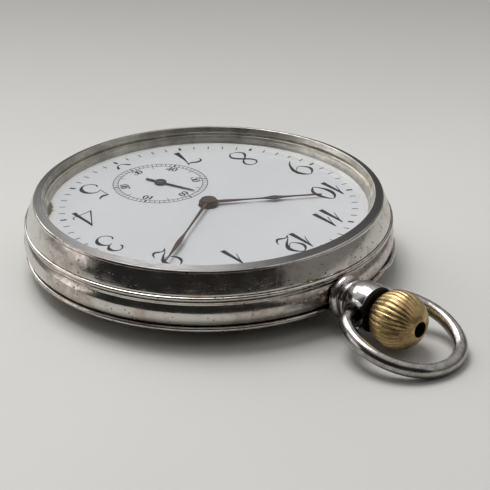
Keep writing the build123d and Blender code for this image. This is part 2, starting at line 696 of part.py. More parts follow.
# Escape wheel with fifteen pointed teeth, and its pinion
escape_teeth = 15
escape_points = []
for tooth in range(escape_teeth):
    base = escape_line + 12 + tooth * 360 / escape_teeth
    for tooth_r, turn in ((2.5, -9.0), (escape_r, 0.0), (escape_r, 2.2), (2.5, 5.0)):
        escape_points.append(polar(tooth_r, base + turn))
with BuildPart() as escape_wheel:
    with BuildSketch(Plane((escape_at[0], escape_at[1], 4.25))) as escape_outline:
        Polygon(*escape_points, align=None)
    extrude(escape_outline.sketch, amount=0.14)
    crossings(escape_at, 4.2, 4.5, 0.7, 2.15, 4, 0.35)
    back_to_fourth = heading(escape_at, seconds_at)
    escape_pinion_phase = gap_phase(escape_pinion_teeth, back_to_fourth)
    toothed(escape_at, 3.42, 3.8, escape_pinion_teeth, fourth_module, escape_pinion_phase)
    post(escape_at, 3.42, 5.2, 0.25)
    post(escape_at, 2.6, 5.6, pivot_r)
escape_wheel.part.label = "escape_wheel"
export_step(escape_wheel.part, "parts/escape_wheel.step")

stone_size = (0.36, 0.26)
fork_low, fork_thickness = 4.26, 0.12

# Pallet fork: anchor arms to the two stones and a forked lever to the balance roller
entry_stone, exit_stone = (
    polar(escape_r + 0.2, escape_line + offset, escape_at) for offset in (-30, 30)
)
fork_reach = hypot(balance_at[0] - pallet_at[0], balance_at[1] - pallet_at[1]) - 0.78
fork_plane = Plane((pallet_at[0], pallet_at[1], fork_low)).rotated((0, 0, escape_line))
with BuildPart() as pallet_fork:
    with BuildSketch(fork_plane):
        Circle(0.45)
        Polygon((0, 0.22), (fork_reach - 0.6, 0.14), (fork_reach - 0.6, -0.14), (0, -0.22), align=None)
        with Locations((fork_reach - 0.35, 0)):
            Rectangle(0.7, 0.95)
        with Locations((fork_reach, 0)):
            Rectangle(0.8, 0.36, mode=Mode.SUBTRACT)
    extrude(amount=fork_thickness)
    for stone_at in (entry_stone, exit_stone):
        arm_angle = heading(pallet_at, stone_at)
        arm_length = hypot(stone_at[0] - pallet_at[0], stone_at[1] - pallet_at[1])
        with BuildSketch(Plane((pallet_at[0], pallet_at[1], fork_low)).rotated((0, 0, arm_angle))):
            with Locations((arm_length / 2 - 0.1, 0)):
                Rectangle(arm_length - 0.2, 0.36)
        extrude(amount=fork_thickness)
    for stone_at in (entry_stone, exit_stone):
        with BuildSketch(Plane((stone_at[0], stone_at[1], 4)).rotated((0, 0, escape_line))):
            Rectangle(*stone_size)
        extrude(amount=1, mode=Mode.SUBTRACT)
    post(pallet_at, 3.75, 5.5, pivot_r)
pallet_fork.part.label = "pallet_fork"
export_step(pallet_fork.part, "parts/pallet_fork.step")

# Pallet stones: two small ruby blocks at the ends of the anchor arms
with BuildPart() as pallet_stones:
    for stone_at in (entry_stone, exit_stone):
        with BuildSketch(Plane((stone_at[0], stone_at[1], 4.2)).rotated((0, 0, escape_line))):
            Rectangle(*stone_size)
        extrude(amount=0.24)
pallet_stones.part.label = "pallet_stones"
export_step(pallet_stones.part, "parts/pallet_stones.step")

balance_low, balance_high, balance_inner_r, balance_arm_angle = 2.78, 3.22, 6.6, 40

# Balance wheel: rim with timing screws and a two-armed bar
timing_screws = 14
with BuildPart() as balance_wheel:
    post(balance_at, balance_low, balance_high, balance_r)
    bore(balance_at, 2.5, 3.5, balance_inner_r)
    with BuildSketch(Plane((balance_at[0], balance_at[1], 2.88)).rotated((0, 0, balance_arm_angle))):
        Rectangle(2 * balance_inner_r + 0.4, 0.9)
        Circle(1.0)
    extrude(amount=0.2)
    bore(balance_at, 2.5, 3.5, 0.3)
balance_wheel.part.label = "balance_wheel"
export_step(balance_wheel.part, "parts/balance_wheel.step")

# Timing screws around the balance rim
with BuildPart() as balance_screws:
    for screw_number in range(timing_screws):
        screw_angle = balance_arm_angle + 12.9 + screw_number * 360 / timing_screws
        screw_at = polar(balance_r, screw_angle, balance_at)
        outwards = (*polar(1, screw_angle), 0)
        with BuildSketch(Plane(origin=(*screw_at, (balance_low + balance_high) / 2), z_dir=outwards)):
            Circle(0.2)
        extrude(amount=0.42)
balance_screws.part.label = "balance_screws"
export_step(balance_screws.part, "parts/balance_screws.step")

# Balance staff with its roller and impulse pin
with BuildPart() as balance_staff:
    post(balance_at, 2.66, 4.6, 0.3)
    post(balance_at, 2.1, 5.5, pivot_r)
    post(balance_at, 3.9, 4.08, 1.05)
    post(polar(0.86, escape_line + 180, balance_at), 4.08, 4.5, 0.13)
balance_staff.part.label = "balance_staff"
export_step(balance_staff.part, "parts/balance_staff.step")


COIL_SIDES = 9


def coil(at, low, high, start_r, pitch, turns, thickness, start_angle):
    """Flat spiral strip in the active part."""
    steps = COIL_SIDES * turns
    inner, outer = [], []
    for step in range(steps + 1):
        angle = start_angle + 360 * step / COIL_SIDES
        radius = start_r + pitch * step / COIL_SIDES
        inner.append(polar(radius - thickness / 2, angle))
        outer.append(polar(radius + thickness / 2, angle))
    with BuildSketch(Plane((at[0], at[1], low))) as strip:
        with BuildLine():
            inside = Spline(*inner)
            outside = Spline(*outer)
            Line(inside @ 0, outside @ 0)
            Line(inside @ 1, outside @ 1)
        make_face()
    extrude(strip.sketch, amount=high - low)


# Hairspring: flat blued spiral under the cock, with its collet end near the staff
with BuildPart() as hairspring:
    coil(balance_at, 2.5, 2.62, 0.75, 0.3, 9, 0.07, 0)
hairspring.part.label = "hairspring"
export_step(hairspring.part, "parts/hairspring.step")

# Stud that holds the hairspring's outer end to the cock
with BuildPart() as hairspring_stud:
    block((balance_at[0] + 3.5, balance_at[0] + 3.95), (-5.2, -4.8), (2.32, 2.68))
hairspring_stud.part.label = "hairspring_stud"
export_step(hairspring_stud.part, "parts/hairspring_stud.step")

# Mainspring coiled inside the barrel
with BuildPart() as mainspring:
    coil(barrel_at, 3.8, 4.85, 2.1, 0.58, 9, 0.16, 0)
mainspring.part.label = "mainspring"
export_step(mainspring.part, "parts/mainspring.step")

# Mainspring barrel: toothed drum, open towards the plate
barrel_r = 8.05
barrel_low, barrel_high, lid_high = 3.38, 4.93, 5.16
with BuildPart() as mainspring_barrel:
    toothed(barrel_at, barrel_low, 3.9, barrel_teeth, barrel_module, heading(barrel_at, centre_at))
    post(barrel_at, barrel_low, barrel_high, barrel_r)
    bore(barrel_at, 3.74, 5, 7.65)
    bore(barrel_at, 3, 5, 0.8)
mainspring_barrel.part.label = "mainspring_barrel"
export_step(mainspring_barrel.part, "parts/mainspring_barrel.step")

# Barrel lid
with BuildPart() as barrel_lid:
    post(barrel_at, barrel_high, lid_high, barrel_r)
    bore(barrel_at, 4, 6, 0.8)
barrel_lid.part.label = "barrel_lid"
export_step(barrel_lid.part, "parts/barrel_lid.step")

# Barrel arbor with its drum inside the spring and a square for the ratchet wheel
with BuildPart() as barrel_arbor:
    post(barrel_at, bridge_low, 5.9, barrel_arbor_r)
    post(barrel_at, 3.78, 4.89, 1.75)
    with BuildSketch(Plane((barrel_at[0], barrel_at[1], winding_low))):
        Rectangle(1.0, 1.0)
    extrude(amount=0.5)
barrel_arbor.part.label = "barrel_arbor"
export_step(barrel_arbor.part, "parts/barrel_arbor.step")

# Ratchet wheel on the barrel arbor, outside the barrel bridge
ratchet_to_crown = heading(barrel_at, crown_wheel_at)
with BuildPart() as ratchet_wheel:
    ratchet_phase = gap_phase(ratchet_teeth, ratchet_to_crown)
    toothed(barrel_at, winding_low, 2.28, ratchet_teeth, winding_module, ratchet_phase)
    with BuildSketch(Plane((barrel_at[0], barrel_at[1], 1.9))):
        Rectangle(1.02, 1.02)
    extrude(amount=0.5, mode=Mode.SUBTRACT)
ratchet_wheel.part.label = "ratchet_wheel"
export_step(ratchet_wheel.part, "parts/ratchet_wheel.step")

# Ratchet wheel screw
with BuildPart() as ratchet_screw:
    post(barrel_at, 1.78, winding_low, 1.5)
    block(
        (barrel_at[0] - 2, barrel_at[0] + 2),
        (barrel_at[1] - 0.16, barrel_at[1] + 0.16),
        (1.7, 1.87),
        Mode.SUBTRACT,
    )
ratchet_screw.part.label = "ratchet_screw"
export_step(ratchet_screw.part, "parts/ratchet_screw.step")

# Crown wheel: rim teeth for the ratchet wheel and face teeth for the winding pinion
face_inner_r, face_outer_r = 2.65, 3.0
crown_to_ratchet = heading(crown_wheel_at, barrel_at)
with BuildPart() as crown_wheel:
    toothed(crown_wheel_at, winding_low, 2.24, crown_wheel_teeth, winding_module, crown_to_ratchet)
    for tooth in range(crown_face_teeth):
        face_angle = 90 + 360 * tooth / crown_face_teeth
        face_at = polar((face_inner_r + face_outer_r) / 2, face_angle, crown_wheel_at)
        with BuildSketch(Plane((face_at[0], face_at[1], 2.24)).rotated((0, 0, face_angle))):
            Rectangle(face_outer_r - face_inner_r, 0.24)
        extrude(amount=0.3)
    bore(crown_wheel_at, 1.9, 3, 0.94)
crown_wheel.part.label = "crown_wheel"
export_step(crown_wheel.part, "parts/crown_wheel.step")

# Crown wheel screw, with a broad head over the wheel
with BuildPart() as crown_wheel_screw:
    post(crown_wheel_at, 1.74, 1.92, 1.6)
    post(crown_wheel_at, 1.92, bridge_low, 0.88)
    block((-2, 2), (crown_wheel_at[1] - 0.16, crown_wheel_at[1] + 0.16), (1.7, 1.83), Mode.SUBTRACT)
crown_wheel_screw.part.label = "crown_wheel_screw"
export_step(crown_wheel_screw.part, "parts/crown_wheel_screw.step")

# Click: sprung pawl beside the ratchet wheel
click_at = polar(8.6, 10, barrel_at)
click_tip = polar(6.95, 28, barrel_at)
with BuildPart() as click:
    post(click_at, 1.98, 2.28, 0.85)
    with BuildSketch(Plane((click_at[0], click_at[1], 1.98))):
        arm = (click_tip[0] - click_at[0], click_tip[1] - click_at[1])
        side_step = polar(0.6, heading(click_at, click_tip) + 90)
        Polygon((side_step[0], side_step[1]), (-side_step[0], -side_step[1]), arm, align=None)
    extrude(amount=0.3)
    bore(click_at, 1, 3, 0.42)
click.part.label = "click"
export_step(click.part, "parts/click.step")

# Click screw that the click turns on
with BuildPart() as click_screw:
    post(click_at, 1.9, 2.6, 0.4)
    post(click_at, 1.8, 1.95, 0.8)
click_screw.part.label = "click_screw"
export_step(click_screw.part, "parts/click_screw.step")

click_spring_r, click_spring_end = 10.0, 34

# Click spring: curved wire behind the click
with BuildPart() as click_spring:
    with BuildSketch(Plane((barrel_at[0], barrel_at[1], 2.05))):
        Circle(click_spring_r + 0.1)
        Circle(click_spring_r - 0.1, mode=Mode.SUBTRACT)
        wedge = [polar(30, wedge_angle) for wedge_angle in (0, click_spring_end)]
        Polygon((0, 0), *wedge, align=None, mode=Mode.INTERSECT)
    extrude(amount=0.2)
    post(polar(click_spring_r, click_spring_end, barrel_at), 2.05, bridge_low, 0.4)
click_spring.part.label = "click_spring"
export_step(click_spring.part, "parts/click_spring.step")

# Barrel bridge: upper half plate over the barrel, centre arbor and winding wheels
bridge_jewels_at = (third_at, seconds_at, escape_at)
barrel_pillars = pillars_at[:3]
train_pillars = (pillars_at[4], pillars_at[5])
split_y = -2.2
with BuildPart() as barrel_bridge:
    with BuildSketch(Plane.XY.offset(bridge_low)):
        Circle(bridge_r)
        with Locations((0, split_y - 20)):
            Rectangle(60, 40, mode=Mode.SUBTRACT)
        with Locations(balance_at):
            Circle(balance_clear_r, mode=Mode.SUBTRACT)
    extrude(amount=bridge_top - bridge_low)
    chamfer(barrel_bridge.faces().sort_by(Axis.Z)[0].edges(), 0.12)
    with BuildSketch(Plane((crown_wheel_at[0], crown_wheel_at[1], bridge_low))):
        Circle(3.85)
        Circle(1.1, mode=Mode.SUBTRACT)
    extrude(amount=0.4, mode=Mode.SUBTRACT)
    block((-2.05, 2.05), (18.2, 19.42), (2, 4), Mode.SUBTRACT)
    block((-1.6, 1.6), (15.25, 19.42), (2.72, 4), Mode.SUBTRACT)
    bore(centre_at, 2, 4, arbor_r + hole_clear)
    bore(barrel_at, 2, 4, barrel_arbor_r + 0.02)
    bore(click_at, 2.3, 2.6, 0.4)
    for pillar_at in barrel_pillars:
        bore(pillar_at, bridge_low, 2.75, screw_head_r + 0.05)
barrel_bridge.part.label = "barrel_bridge"
export_step(barrel_bridge.part, "parts/barrel_bridge.step")

# Train bridge: lower half plate over the third, fourth and escape wheels
cock_foot_at = polar(19.0, 236)
cock_line = heading(cock_foot_at, balance_at)
with BuildPart() as train_bridge:
    with BuildSketch(Plane.XY.offset(bridge_low)):
        Circle(bridge_r)
        with Locations((0, split_y - 0.25 + 20)):
            Rectangle(60, 40, mode=Mode.SUBTRACT)
        with Locations(balance_at):
            Circle(balance_clear_r, mode=Mode.SUBTRACT)
        with Locations((-21.6, -20)):
            Rectangle(29, 17.2, mode=Mode.SUBTRACT)
        with Locations((-24, -10)):
            Rectangle(24, 20, mode=Mode.SUBTRACT)
    extrude(amount=bridge_top - bridge_low)
    chamfer(train_bridge.faces().sort_by(Axis.Z)[0].edges(), 0.12)
    for jewel_at in bridge_jewels_at:
        bore(jewel_at, 2, 4, jewel_r)
    for pillar_at in train_pillars + (pillars_at[3],):
        bore(pillar_at, bridge_low, 2.75, screw_head_r + 0.05)
train_bridge.part.label = "train_bridge"
export_step(train_bridge.part, "parts/train_bridge.step")

# Balance cock: foot on the plate and an arm over the balance
with BuildPart() as balance_cock:
    with BuildSketch(Plane((cock_foot_at[0], cock_foot_at[1], cock_low)).rotated((0, 0, cock_line))):
        arm_length = hypot(balance_at[0] - cock_foot_at[0], balance_at[1] - cock_foot_at[1])
        Polygon((-0.6, 1.7), (arm_length, 1.1), (arm_length, -1.1), (-0.6, -1.7), align=None)
        with Locations((arm_length, 0)):
            Circle(1.9)
        with Locations((arm_length, -2.9)):
            Rectangle(0.9, 2.8)
        Circle(1.75)
    extrude(amount=0.42)
    post(cock_foot_at, 2.3, plate_low, 1.45)
    bore(balance_at, 1, 3, jewel_r)
    bore(cock_foot_at, cock_low, 2.1, screw_head_r + 0.05)
balance_cock.part.label = "balance_cock"
export_step(balance_cock.part, "parts/balance_cock.step")

# Regulator: pointer that turns about the balance jewel on top of the cock
with BuildPart() as regulator:
    with BuildSketch(Plane((balance_at[0], balance_at[1], 1.74)).rotated((0, 0, 60))):
        Circle(1.35)
        Polygon((0, 0.4), (4.6, 0.1), (4.6, -0.1), (0, -0.4), align=None)
        Circle(0.85, mode=Mode.SUBTRACT)
    extrude(amount=0.14)
regulator.part.label = "regulator"
export_step(regulator.part, "parts/regulator.step")

# Pallet cock: small plate over the pallet arbor, on its own foot
pallet_arm, pallet_arm_angle = 4.4, 34
pallet_foot_at = polar(pallet_arm, pallet_arm_angle + 180, pallet_at)
with BuildPart() as pallet_cock:
    with BuildSketch(Plane((pallet_foot_at[0], pallet_foot_at[1], 3.72)).rotated((0, 0, pallet_arm_angle))):
        Circle(1.3)
        Polygon((0, 1.1), (pallet_arm, 0.6), (pallet_arm, -0.6), (0, -1.1), align=None)
        with Locations((pallet_arm, 0)):
            Circle(0.75)
    extrude(amount=0.36)
    post(pallet_foot_at, 3.72, plate_low, 1.2)
    bore(pallet_at, 3, 5, 0.15)
pallet_cock.part.label = "pallet_cock"
export_step(pallet_cock.part, "parts/pallet_cock.step")

fourth_hole_r, jewel_hole_r = 0.25, 0.18

# Jewels: ruby rings for the pivots of the train, the pallet arbor and the balance
with BuildPart() as jewels:
    for jewel_at in plate_jewels_at:
        jewel_low = 5.74 if jewel_at == third_at else 5.32
        hole_r = fourth_hole_r if jewel_at == seconds_at else jewel_hole_r
        post(jewel_at, jewel_low, jewel_low + 0.36, jewel_r)
        bore(jewel_at, jewel_low - 0.1, jewel_low + 1, hole_r)
    for jewel_at in bridge_jewels_at:
        post(jewel_at, bridge_low + 0.05, bridge_low + 0.6, jewel_r)
        bore(jewel_at, bridge_low, 3, fourth_hole_r if jewel_at == seconds_at else jewel_hole_r)
    post(balance_at, cock_low, 2.3, jewel_r)
    bore(balance_at, 2.05, 3, 0.15)
jewels.part.label = "jewels"
export_step(jewels.part, "parts/jewels.step")

# Bridge screws: slotted heads in the counterbores over the pillars and the cock foot
with BuildPart() as bridge_screws:
    for screw_at in pillars_at + (cock_foot_at,):
        screw_low = 1.92 if screw_at == cock_foot_at else 2.38
        post(screw_at, screw_low, screw_low + (0.18 if screw_at == cock_foot_at else 0.37), screw_head_r)
        slot_x = (screw_at[0] - 1, screw_at[0] + 1)
        slot_y = (screw_at[1] - 0.13, screw_at[1] + 0.13)
        block(slot_x, slot_y, (screw_low - 0.1, screw_low + 0.1), Mode.SUBTRACT)
bridge_screws.part.label = "bridge_screws"
export_step(bridge_screws.part, "parts/bridge_screws.step")

# Case screws that clamp the movement under the band's ledge
case_screws_at = (polar(20.75, 35), polar(20.75, 205))
with BuildPart() as case_screws:
    for screw_at in case_screws_at:
        post(screw_at, 4.85, plate_low, 1.1)
        slot_x = (screw_at[0] - 1.2, screw_at[0] + 1.2)
        slot_y = (screw_at[1] - 0.15, screw_at[1] + 0.15)
        block(slot_x, slot_y, (4.8, 4.97), Mode.SUBTRACT)
case_screws.part.label = "case_screws"
export_step(case_screws.part, "parts/case_screws.step")

# Setting lever: follows the stem groove with its pin when the crown is pulled
with BuildPart() as setting_lever:
    with BuildSketch(Plane.XY.offset(lever_level)):
        for spot, spot_r in ((lever_pivot, 0.85), (lever_pin_at, 0.4)):
            with Locations(spot):
                Circle(spot_r)
        Polygon((0, 20.2), (0, 19.6), (4.6, 18.5), (4.6, 19.9), align=None)
    extrude(amount=lever_thickness)
    post(lever_pin_at, 4.68, 5.7, 0.22)
    post(lever_pivot, 5.7, lever_post_top, lever_post_r)
setting_lever.part.label = "setting_lever"
export_step(setting_lever.part, "parts/setting_lever.step")

# Yoke: pushes the clutch towards the setting wheel
with BuildPart() as yoke:
    with BuildSketch(Plane.XY.offset(lever_level)):
        for spot, spot_r in ((yoke_pivot, 0.85), (yoke_pin_at, 0.36)):
            with Locations(spot):
                Circle(spot_r)
        Polygon((0, 17.65), (0, 17.05), (-4.8, 15.9), (-4.8, 17.3), align=None)
    extrude(amount=lever_thickness)
    post(yoke_pin_at, 5.2, 5.7, 0.18)
    post(yoke_pivot, 5.7, lever_post_top, lever_post_r)
yoke.part.label = "yoke"
export_step(yoke.part, "parts/yoke.step")
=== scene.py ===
from math import atan2, cos, hypot, pi, radians, sin, sqrt

import bmesh
import bpy
from mathutils import Matrix, Vector


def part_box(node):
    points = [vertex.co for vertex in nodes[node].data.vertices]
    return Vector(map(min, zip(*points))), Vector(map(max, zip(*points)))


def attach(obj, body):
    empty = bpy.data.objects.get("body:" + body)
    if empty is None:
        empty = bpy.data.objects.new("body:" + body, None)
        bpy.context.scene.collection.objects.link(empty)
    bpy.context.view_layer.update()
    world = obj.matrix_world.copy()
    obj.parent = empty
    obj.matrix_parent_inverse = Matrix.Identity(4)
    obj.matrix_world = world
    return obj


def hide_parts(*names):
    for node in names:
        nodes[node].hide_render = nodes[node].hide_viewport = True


# Open face pocket watch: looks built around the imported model. Lengths are metres; MM turns a size
# given in millimetres into metres. The dial faces +Z, twelve o'clock and the crown are at +Y.

MM = 0.001
CROWN_NECK = 3.72 * MM  # from the crown's foot to the middle of its ball
MEAN_R = 24.0 * MM  # radius at which turned grain keeps its true length
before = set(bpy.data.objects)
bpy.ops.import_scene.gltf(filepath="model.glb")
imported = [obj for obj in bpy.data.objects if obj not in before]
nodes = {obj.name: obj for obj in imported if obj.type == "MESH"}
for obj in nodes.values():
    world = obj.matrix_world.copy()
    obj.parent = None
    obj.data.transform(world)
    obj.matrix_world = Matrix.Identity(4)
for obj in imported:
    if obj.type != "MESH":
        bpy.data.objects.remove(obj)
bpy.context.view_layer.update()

DIAL_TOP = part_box("dial")[1].z
crown_low, crown_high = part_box("crown")
CROWN_R = (crown_high.x - crown_low.x) / 2
CROWN_Z = (crown_high.z + crown_low.z) / 2
CROWN_Y = crown_low.y + CROWN_NECK
seconds_low, seconds_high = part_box("fourth_wheel")
SECONDS_AT = (0.0, (seconds_low.y + seconds_high.y) / 2)

# Camera: stands towards one o'clock and looks across the dial from a low angle
CAMERA_AZIMUTH = radians(46.91)
CAMERA_ELEVATION = radians(26.10)
CAMERA_ROLL = radians(-0.49)
CAMERA_DISTANCE = 240.385 * MM
AIM = Vector((-1.94 * MM, 5.19 * MM, 3.37 * MM))
LENS_MM = 127.91
SENSOR_MM = 36.0
# Dark side of the room: its direction, and where it ends round the horizon and up the wall
DARK_SIDE = (cos(radians(27)), sin(radians(27)), 0.0)
DARK_REACH, DARK_CORE = radians(67), radians(63)
DARK_HEIGHT, DARK_END = radians(56), radians(66)


# Node trees


def put(tree, kind, inputs=None, **settings):
    """Adds a shader node, sets its properties and fills its inputs with values or sockets."""
    node = tree.nodes.new("ShaderNode" + kind)
    for key, value in settings.items():
        setattr(node, key, value)
    for key, value in (inputs or {}).items():
        if isinstance(value, bpy.types.NodeSocket):
            tree.links.new(value, node.inputs[key])
        else:
            node.inputs[key].default_value = value
    return node


def start(name):
    """New material with its tree, its Principled shader and the object's coordinates."""
    material = bpy.data.materials.new(name)
    material.use_nodes = True
    tree = material.node_tree
    tree.nodes.clear()
    shader = put(tree, "BsdfPrincipled")
    output = put(tree, "OutputMaterial")
    tree.links.new(shader.outputs["BSDF"], output.inputs["Surface"])
    coords = put(tree, "TexCoord").outputs["Object"]
    return material, tree, shader, coords


def noise(tree, coords, size_mm, seed, detail=3.0, roughness=0.55):
    """Noise from 0 to 1 whose blobs are about size_mm across."""
    values = {
        "Vector": coords,
        "W": float(seed),
        "Scale": 1 / (size_mm * MM),
        "Detail": detail,
        "Roughness": roughness,
    }
    return put(tree, "TexNoise", values, noise_dimensions="4D").outputs["Fac"]


def stretched(tree, coords, factors):
    """Coordinates scaled by a factor on each axis."""
    return put(tree, "Mapping", {"Vector": coords, "Scale": factors}).outputs["Vector"]


def around(tree, coords):
    """Coordinates unrolled about the case axis: along the turn, up the axis, and outwards."""
    parts = put(tree, "SeparateXYZ", {0: coords}).outputs
    angle = math_node(tree, "ARCTAN2", parts["Y"], parts["X"])
    along = math_node(tree, "MULTIPLY", angle, MEAN_R)
    return put(tree, "CombineXYZ", {0: along, 1: parts["Z"], 2: radial(tree, coords)}).outputs[0]


def radial(tree, coords):
    """Distance from the case axis."""
    parts = put(tree, "SeparateXYZ", {0: coords}).outputs
    squares = [math_node(tree, "MULTIPLY", parts[axis], parts[axis]) for axis in ("X", "Y")]
    return math_node(tree, "SQRT", math_node(tree, "ADD", squares[0], squares[1]))


def math_node(tree, operation, first, second=0.0):
    """Result of one math operation."""
    return put(tree, "Math", {0: first, 1: second}, operation=operation).outputs[0]


def remap(tree, value, low, high, to_low=0.0, to_high=1.0):
    """Value carried smoothly from one range to another and held at its ends."""
    values = {"Value": value, "From Min": low, "From Max": high, "To Min": to_low, "To Max": to_high}
    return put(tree, "MapRange", values, interpolation_type="SMOOTHSTEP").outputs["Result"]


def mixed(tree, share, first, second):
    """Colour between two colours or colour sockets."""
    node = put(tree, "Mix", data_type="RGBA")
    for index, value in ((0, share), (6, first), (7, second)):
        if isinstance(value, bpy.types.NodeSocket):
            tree.links.new(value, node.inputs[index])
        else:
            node.inputs[index].default_value = value if index == 0 else (*value, 1.0)
    return node.outputs[2]


def spots(tree, coords, spacing_mm, radius_mm, edge_mm, seed):
    """Scattered round spots: 1 inside a spot, 0 outside."""
    offset = (seed * 0.013, seed * 0.007, 0.0)
    shifted = put(tree, "Mapping", {"Vector": coords, "Location": offset}).outputs["Vector"]
    values = {"Vector": shifted, "Scale": 1 / (spacing_mm * MM), "Randomness": 1.0}
    cells = put(tree, "TexVoronoi", values, feature="F1").outputs
    low, high = radius_mm / spacing_mm, (radius_mm + edge_mm) / spacing_mm
    return remap(tree, cells["Distance"], low, high, 1.0, 0.0)


def bumped(tree, shader, height, depth_mm):
    """Sends a height through a bump of the given depth to the shader's normal."""
    values = {"Height": height, "Distance": depth_mm * MM, "Strength": 1.0}
    tree.links.new(put(tree, "Bump", values).outputs["Normal"], shader.inputs["Normal"])


def dress(node_names, material):
    """Gives CAD nodes their material."""
    for name in node_names:
        mesh = nodes[name].data
        mesh.materials.clear()
        mesh.materials.append(material)


# Materials


def worn_silver(
    name, shine=(0.64, 0.62, 0.58), patina=(0.43, 0.36, 0.315), pits=0.6, rough=0.10, seed=0, reach_mm=0.5
):
    """Old silver: polished ground, mottled patina, black pits, fine scratches, and crevices and seams
    darkened partly by tarnish and partly by painted shade.
    """
    material, tree, shader, coords = start(name)
    patches = remap(tree, noise(tree, coords, 9, seed + 1, 4, 0.62), 0.40, 0.54)
    mottle = remap(tree, noise(tree, coords, 0.9, seed + 2, 5, 0.7), 0.35, 0.65, 0.25, 1.0)
    patches = math_node(tree, "MULTIPLY", patches, mottle)
    ground = mixed(tree, patches, shine, patina)
    grime = remap(tree, noise(tree, coords, 1.6, seed + 3, 6, 0.75), 0.54, 0.70)
    ground = mixed(tree, math_node(tree, "MULTIPLY", grime, 0.6), ground, (0.13, 0.115, 0.10))
    holes = spots(tree, coords, 0.8, 0.07, 0.09, seed + 4)
    specks = spots(tree, coords, 0.38, 0.03, 0.045, seed + 6)
    crowd = remap(tree, noise(tree, coords, 4, seed + 5, 3), 0.98 - pits, 1.16 - pits)
    specks = math_node(tree, "MULTIPLY", specks, patches)
    holes = math_node(tree, "MULTIPLY", math_node(tree, "MAXIMUM", holes, specks), crowd)
    colour = mixed(tree, holes, ground, (0.015, 0.013, 0.012))
    # Ambient occlusion darkens crevices and the seams between parts almost to black: partly tarnish, partly
    # painted shade.
    shade = put(tree, "AmbientOcclusion", {"Distance": reach_mm * MM}, samples=6).outputs["AO"]
    colour = mixed(tree, remap(tree, shade, 0.25, 0.75, 0.85, 0.0), colour, (0.05, 0.042, 0.035))
    tree.links.new(colour, shader.inputs["Base Color"])
    shader.inputs["Metallic"].default_value = 1.0
    haze = remap(tree, noise(tree, coords, 2.2, seed + 7, 5, 0.68), 0.35, 0.72, rough, rough + 0.12)
    haze = math_node(tree, "ADD", haze, math_node(tree, "MULTIPLY", patches, 0.10))
    scratch_coords = stretched(tree, around(tree, coords), (0.05, 1.0, 1.0))
    scratches = noise(tree, scratch_coords, 0.12, seed + 8, 2, 0.6)
    haze = math_node(tree, "ADD", haze, remap(tree, scratches, 0.55, 0.75, 0.0, 0.10))
    haze = math_node(tree, "ADD", haze, math_node(tree, "MULTIPLY", holes, 0.1))
    tree.links.new(haze, shader.inputs["Roughness"])
    dents = noise(tree, coords, 5, seed + 9, 3, 0.5)
    relief = math_node(tree, "MULTIPLY", dents, 3.0)
    relief = math_node(tree, "SUBTRACT", relief, math_node(tree, "MULTIPLY", holes, 0.35))
    relief = math_node(tree, "SUBTRACT", relief, math_node(tree, "MULTIPLY", scratches, 0.12))
    bumped(tree, shader, relief, 0.03)
    return material


def reopened(material):
    """Tree, Principled shader and object coordinates of a finished material."""
    tree = material.node_tree
    shader = next(node for node in tree.nodes if node.type == "BSDF_PRINCIPLED")
    coords = next(node for node in tree.nodes if node.type == "TEX_COORD").outputs["Object"]
    return tree, shader, coords


def bezel_silver():
    """Bezel silver: as the case outside, duller and brushed on the wall inside the rim, with a painted dark
    reflection on the flat top of the rim.
    """
    material = worn_silver("bezel_silver", pits=0.62, rough=0.07, seed=20)
    tree, shader, coords = reopened(material)
    reach = radial(tree, coords)
    inside = remap(tree, reach, 23.92 * MM, 23.98 * MM, 1.0, 0.0)
    rim = remap(tree, reach, 22.9 * MM, 22.96 * MM)
    brushed = noise(tree, stretched(tree, around(tree, coords), (0.06, 1.0, 1.0)), 0.09, 31, 3, 0.6)
    cloud = remap(tree, noise(tree, coords, 3.5, 32, 4, 0.6), 0.38, 0.66)
    wall = mixed(tree, cloud, (0.96, 0.91, 0.81), (0.56, 0.52, 0.46))
    wall = mixed(tree, remap(tree, brushed, 0.35, 0.7, 0.0, 0.5), wall, (0.32, 0.30, 0.27))
    # Painted reflection: the flat top of the rim is coloured dark grey all round, standing in for the dark
    # it mirrors at the front.
    wall = mixed(tree, rim, wall, (0.11, 0.107, 0.105))
    outside = shader.inputs["Base Color"].links[0].from_socket
    tree.links.new(mixed(tree, inside, outside, wall), shader.inputs["Base Color"])
    smooth = shader.inputs["Roughness"].links[0].from_socket
    dull = remap(tree, brushed, 0.3, 0.7, 0.30, 0.46)
    blend = put(tree, "Mix", {0: inside, 2: smooth, 3: dull}, data_type="FLOAT").outputs[0]
    tree.links.new(blend, shader.inputs["Roughness"])
    return material


def pendant_silver():
    """Pendant silver: brighter than the case, black and matt at the mouth by the crown."""
    material = worn_silver("pendant_silver", (0.66, 0.65, 0.64), (0.42, 0.37, 0.34), 0.42, 0.09, 60, 1.0)
    tree, shader, coords = reopened(material)
    parts = put(tree, "SeparateXYZ", {0: coords}).outputs
    mouth = remap(tree, parts["Y"], 31.45 * MM, 31.7 * MM)
    blackened(tree, shader, mouth)
    return material


def blackened(tree, shader, share):
    """Turns a material black and matt by a share."""
    colour = shader.inputs["Base Color"].links[0].from_socket
    tree.links.new(mixed(tree, share, colour, (0.02, 0.016, 0.012)), shader.inputs["Base Color"])
    smooth = shader.inputs["Roughness"].links[0].from_socket
    matt = put(tree, "Mix", {0: share, 2: smooth, 3: 0.8}, data_type="FLOAT").outputs[0]
    tree.links.new(matt, shader.inputs["Roughness"])


